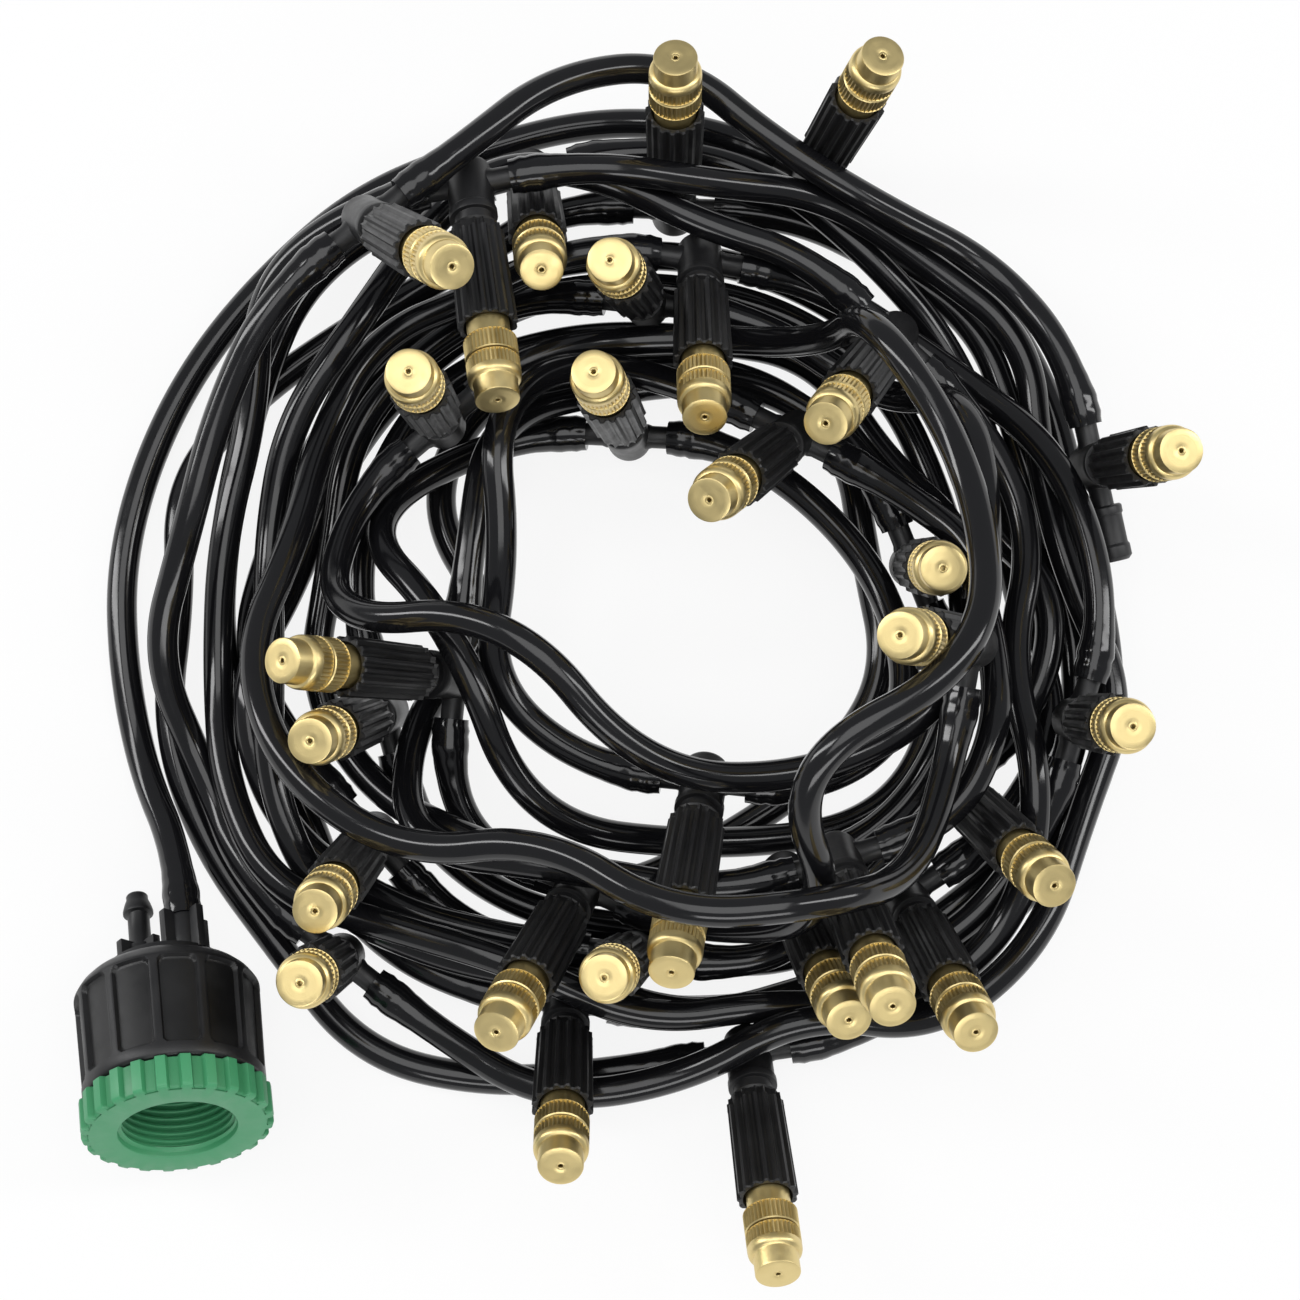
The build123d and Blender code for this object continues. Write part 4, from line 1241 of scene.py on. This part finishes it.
@dataclass
class ThreadAdapter(Assembly):
    """The green adapter: a toothed ring, a sleeve into the body and the tap's thread."""

    rubber: Material
    ring_top: float = -33.2
    mouth: float = -41.2
    ring_radius: float = 20.0
    tooth_radius: float = 21.0
    tooth_count: int = 24
    steps_each: int = 10
    root_radius: float = 12.95
    crest_radius: float = 12.1
    pitch: float = 1.814
    lead_in: float = 1.3
    run_out: float = 3.4
    ridge_base: float = 1.56
    ridge_crest: float = 0.4
    steps_per_turn: int = 48
    sleeve_radius: float = 16.4
    sleeve_top: float = -22.0
    washer_radius: float = 12.6
    lip_radius: float = 8.5
    lip: float = 2.0

    def ring(self) -> BMesh:
        """The toothed ring, its sleeve and the bore down to the thread's roots."""
        tooth, top, mouth = self.tooth_radius, self.ring_top, self.mouth
        seat = self.sleeve_top - self.lip
        outline = (
            (self.sleeve_radius, top), (tooth - 0.4, top), (tooth, top - 0.3), (tooth, top - 0.5),
            (tooth, mouth + 0.95), (tooth - 0.15, mouth + 0.55), (tooth - 0.5, mouth + 0.25),
            (self.ring_radius - 0.25, mouth + 0.12), (self.ring_radius - 0.7, mouth),
            (self.root_radius + 0.55, mouth), (self.root_radius + 0.15, mouth + 0.15),
            (self.root_radius, mouth + 0.5), (self.root_radius, seat - 2.7),
            (self.washer_radius, seat - 2.2), (self.washer_radius, seat), (self.lip_radius, seat),
            (self.lip_radius, self.sleeve_top), (self.sleeve_radius, self.sleeve_top),
        )
        bm = lathe(outline, self.tooth_count * self.steps_each, ring=True)

        def tooth_height(angle: float, height: float) -> float:
            """1 on a tooth and 0 between teeth, fading out at the face."""
            if height > top + 0.01 or height < mouth + 0.1:
                return 1.0
            wave = math.cos(self.tooth_count * angle)
            return min(1.0, max(0.0, 0.5 + 2.2 * wave))

        # Painted shade: the crest attribute darkens the gaps between the teeth.
        flute(bm, tooth - self.ring_radius + 0.3, tooth_height, self.ring_radius - 0.5)
        return bm

    def thread(self) -> BMesh:
        """The internal thread: a ridge that winds up the bore."""
        bm = bmesh.new()
        turned, crest = attribute_layers(bm)
        start, end = self.mouth + self.lead_in, self.sleeve_top - self.lip - self.run_out
        steps = round((end - start) / self.pitch * self.steps_per_turn)
        root, top = self.root_radius + 0.1, self.crest_radius
        wide, narrow = self.ridge_base / 2, self.ridge_crest / 2
        section = ((root, -wide), (top, -narrow), (top, narrow), (root, wide))
        points = [bm.verts.new((radius, 0, start + height)) for radius, height in section]
        face = bm.faces.new(points)
        rise = (0, 0, self.pitch / self.steps_per_turn)
        angle = math.tau * steps / self.steps_per_turn
        about_z = {"axis": (0, 0, 1), "cent": (0, 0, 0), "use_duplicate": False}
        bmesh.ops.spin(bm, geom=[face], dvec=rise, angle=angle, steps=steps, **about_z)
        bmesh.ops.remove_doubles(bm, verts=bm.verts, dist=WELD_MM)
        bmesh.ops.recalc_face_normals(bm, faces=bm.faces)
        for vert in bm.verts:
            radius = math.hypot(vert.co.x, vert.co.y)
            ends = min(vert.co.z - start, end - vert.co.z) / (self.pitch / 4)
            sunk = 1 + (root + 0.1 - radius) * max(0.0, min(1.0, 1 - ends)) / radius
            vert.co.xy *= sunk
            vert[turned] = vert.co.z * MM
            # Painted shade: the thread's roots get crest 0.3, so they take part of the darker shade
            # colour, and its crests get 1.
            vert[crest] = 1.0 if radius < root - 0.2 else 0.3
        return bm

    def build(self) -> None:
        """Build the adapter, and finish its packed washers."""
        mesh = finished_mesh(joined([self.ring(), self.thread()]), "adapter_form")
        mesh.transform(self.layout.connector)
        add_piece("green_adapter", mesh, self.finish, Slot.GREEN, "thread_adapter", ADAPTER)
        for name in ("adapter_washer", "inlet_washer", "cap_seals"):
            node = self.layout.frame["nodes"][name]
            node.data.materials.clear()
            node.data.materials.append(self.rubber)
            LOG.info("%s keeps its packed shape", name)


# ---- Studio ----


@dataclass(frozen=True)
class Softbox:
    """A soft area lamp, with its place and size in metres and its power in watts."""

    name: str
    place: tuple[float, float, float]
    size: tuple[float, float]
    power: float


@dataclass
class Studio:
    """The pale floor, the soft lamps and the camera."""

    layout: PackedLayout
    elevation: float = 78.0
    distance: float = 850.0
    view_angle: float = 19.85
    target_from_dome: tuple[float, float, float] = (108.5, 72.9, -4.6)
    floor_side: float = 8.0
    floor_gap: float = 0.3
    floor_glow: float = 0.88
    world_strength: float = 0.32
    lamps: tuple[Softbox, ...] = (
        Softbox("overhead", (0.0, -0.05, 1.7), (1.3, 1.3), 11.0),
        Softbox("left", (-1.25, 0.35, 0.95), (0.28, 1.4), 10.0),
        Softbox("right", (1.25, 0.2, 1.0), (0.28, 1.4), 8.0),
        Softbox("front", (0.1, -1.3, 0.9), (1.2, 0.4), 6.0),
    )

    def floor(self) -> None:
        """A pale floor that shows white to the camera and keeps the shadow."""
        bm = bmesh.new()
        bmesh.ops.create_grid(bm, x_segments=1, y_segments=1, size=self.floor_side / 2)
        bmesh.ops.translate(bm, vec=(0, 0, -self.floor_gap * MM), verts=bm.verts)
        mesh = bpy.data.meshes.new("studio_floor")
        bm.to_mesh(mesh)
        bm.free()
        mesh.materials.append(self.floor_material())
        linked("studio_floor", mesh)

    def floor_material(self) -> Material:
        """White paper, partly lit by itself where it is seen directly or in a reflection."""
        material = bpy.data.materials.new("studio_paper")
        material.use_nodes = True
        tree = material.node_tree
        paper = tree.nodes["Principled BSDF"]
        paper.inputs["Base Color"].default_value = (0.9, 0.9, 0.9, 1.0)
        paper.inputs["Roughness"].default_value = 0.9
        paper.inputs["Specular IOR Level"].default_value = 0.1
        glow = add_node(tree, "Emission", {"Strength": 1.0}).outputs[0]
        path = add_node(tree, "LightPath", {})
        seen = path.outputs["Is Camera Ray"]
        for ray in ("Is Glossy Ray", "Is Transmission Ray"):
            inputs = {0: seen, 1: path.outputs[ray]}
            seen = add_node(tree, "Math", inputs, operation="MAXIMUM").outputs[0]
        share = add_node(tree, "Math", {0: seen, 1: self.floor_glow}, operation="MULTIPLY")
        inputs = {"Fac": share.outputs[0], 1: paper.outputs[0], 2: glow}
        mix = add_node(tree, "MixShader", inputs)
        tree.links.new(mix.outputs[0], tree.nodes["Material Output"].inputs["Surface"])
        return material

    def lights(self, target: Vector) -> None:
        """The softboxes, all aimed at the object, and the room's own light."""
        for box in self.lamps:
            lamp = bpy.data.lights.new(box.name, "AREA")
            lamp.shape = "RECTANGLE"
            lamp.size, lamp.size_y = box.size
            lamp.energy = box.power
            holder = linked(f"softbox_{box.name}", lamp)
            holder.location = target + Vector(box.place)
            holder.rotation_euler = (target - holder.location).to_track_quat("-Z", "Y").to_euler()
        world = bpy.data.worlds.new("studio_room")
        world.use_nodes = True
        sky = world.node_tree.nodes["Background"]
        sky.inputs["Color"].default_value = (0.95, 0.97, 1.0, 1.0)
        sky.inputs["Strength"].default_value = self.world_strength
        bpy.context.scene.world = world

    def camera(self, target: Vector) -> None:
        """The camera, looking down on the coil."""
        data = bpy.data.cameras.new("camera")
        data.angle = math.radians(self.view_angle)
        camera = linked("camera", data)
        rise = math.radians(self.elevation)
        back = Vector((0.0, -math.cos(rise), math.sin(rise)))
        camera.location = target + back * self.distance * MM
        camera.rotation_euler = (-back).to_track_quat("-Z", "Y").to_euler()
        bpy.context.scene.camera = camera

    def build(self) -> None:
        """Build the studio round the object."""
        target = self.layout.connector.translation + Vector(self.target_from_dome) * MM
        self.floor()
        self.lights(target)
        self.camera(target)
        bpy.context.scene.view_settings.view_transform = "Standard"


def clear_scene() -> None:
    """Remove what a new Blender file holds."""
    for item in list(bpy.data.objects):
        bpy.data.objects.remove(item)


def main() -> None:
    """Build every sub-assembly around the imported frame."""
    logging.basicConfig(level=logging.INFO, format="%(name)s: %(message)s")
    clear_scene()
    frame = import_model()
    layout = PackedLayout(frame)
    fitting = FITTING_PLASTIC.material()
    Studio(layout).build()
    Hose(layout, HOSE_PVC.material()).build()
    Tees(layout, fitting).build()
    Nozzles(layout, fitting, TURNED_BRASS.material()).build()
    TapBody(layout, fitting).build()
    ThreadAdapter(layout, GREEN_PLASTIC.material(), SEAL_RUBBER.material()).build()


if __name__ == "__main__":
    main()
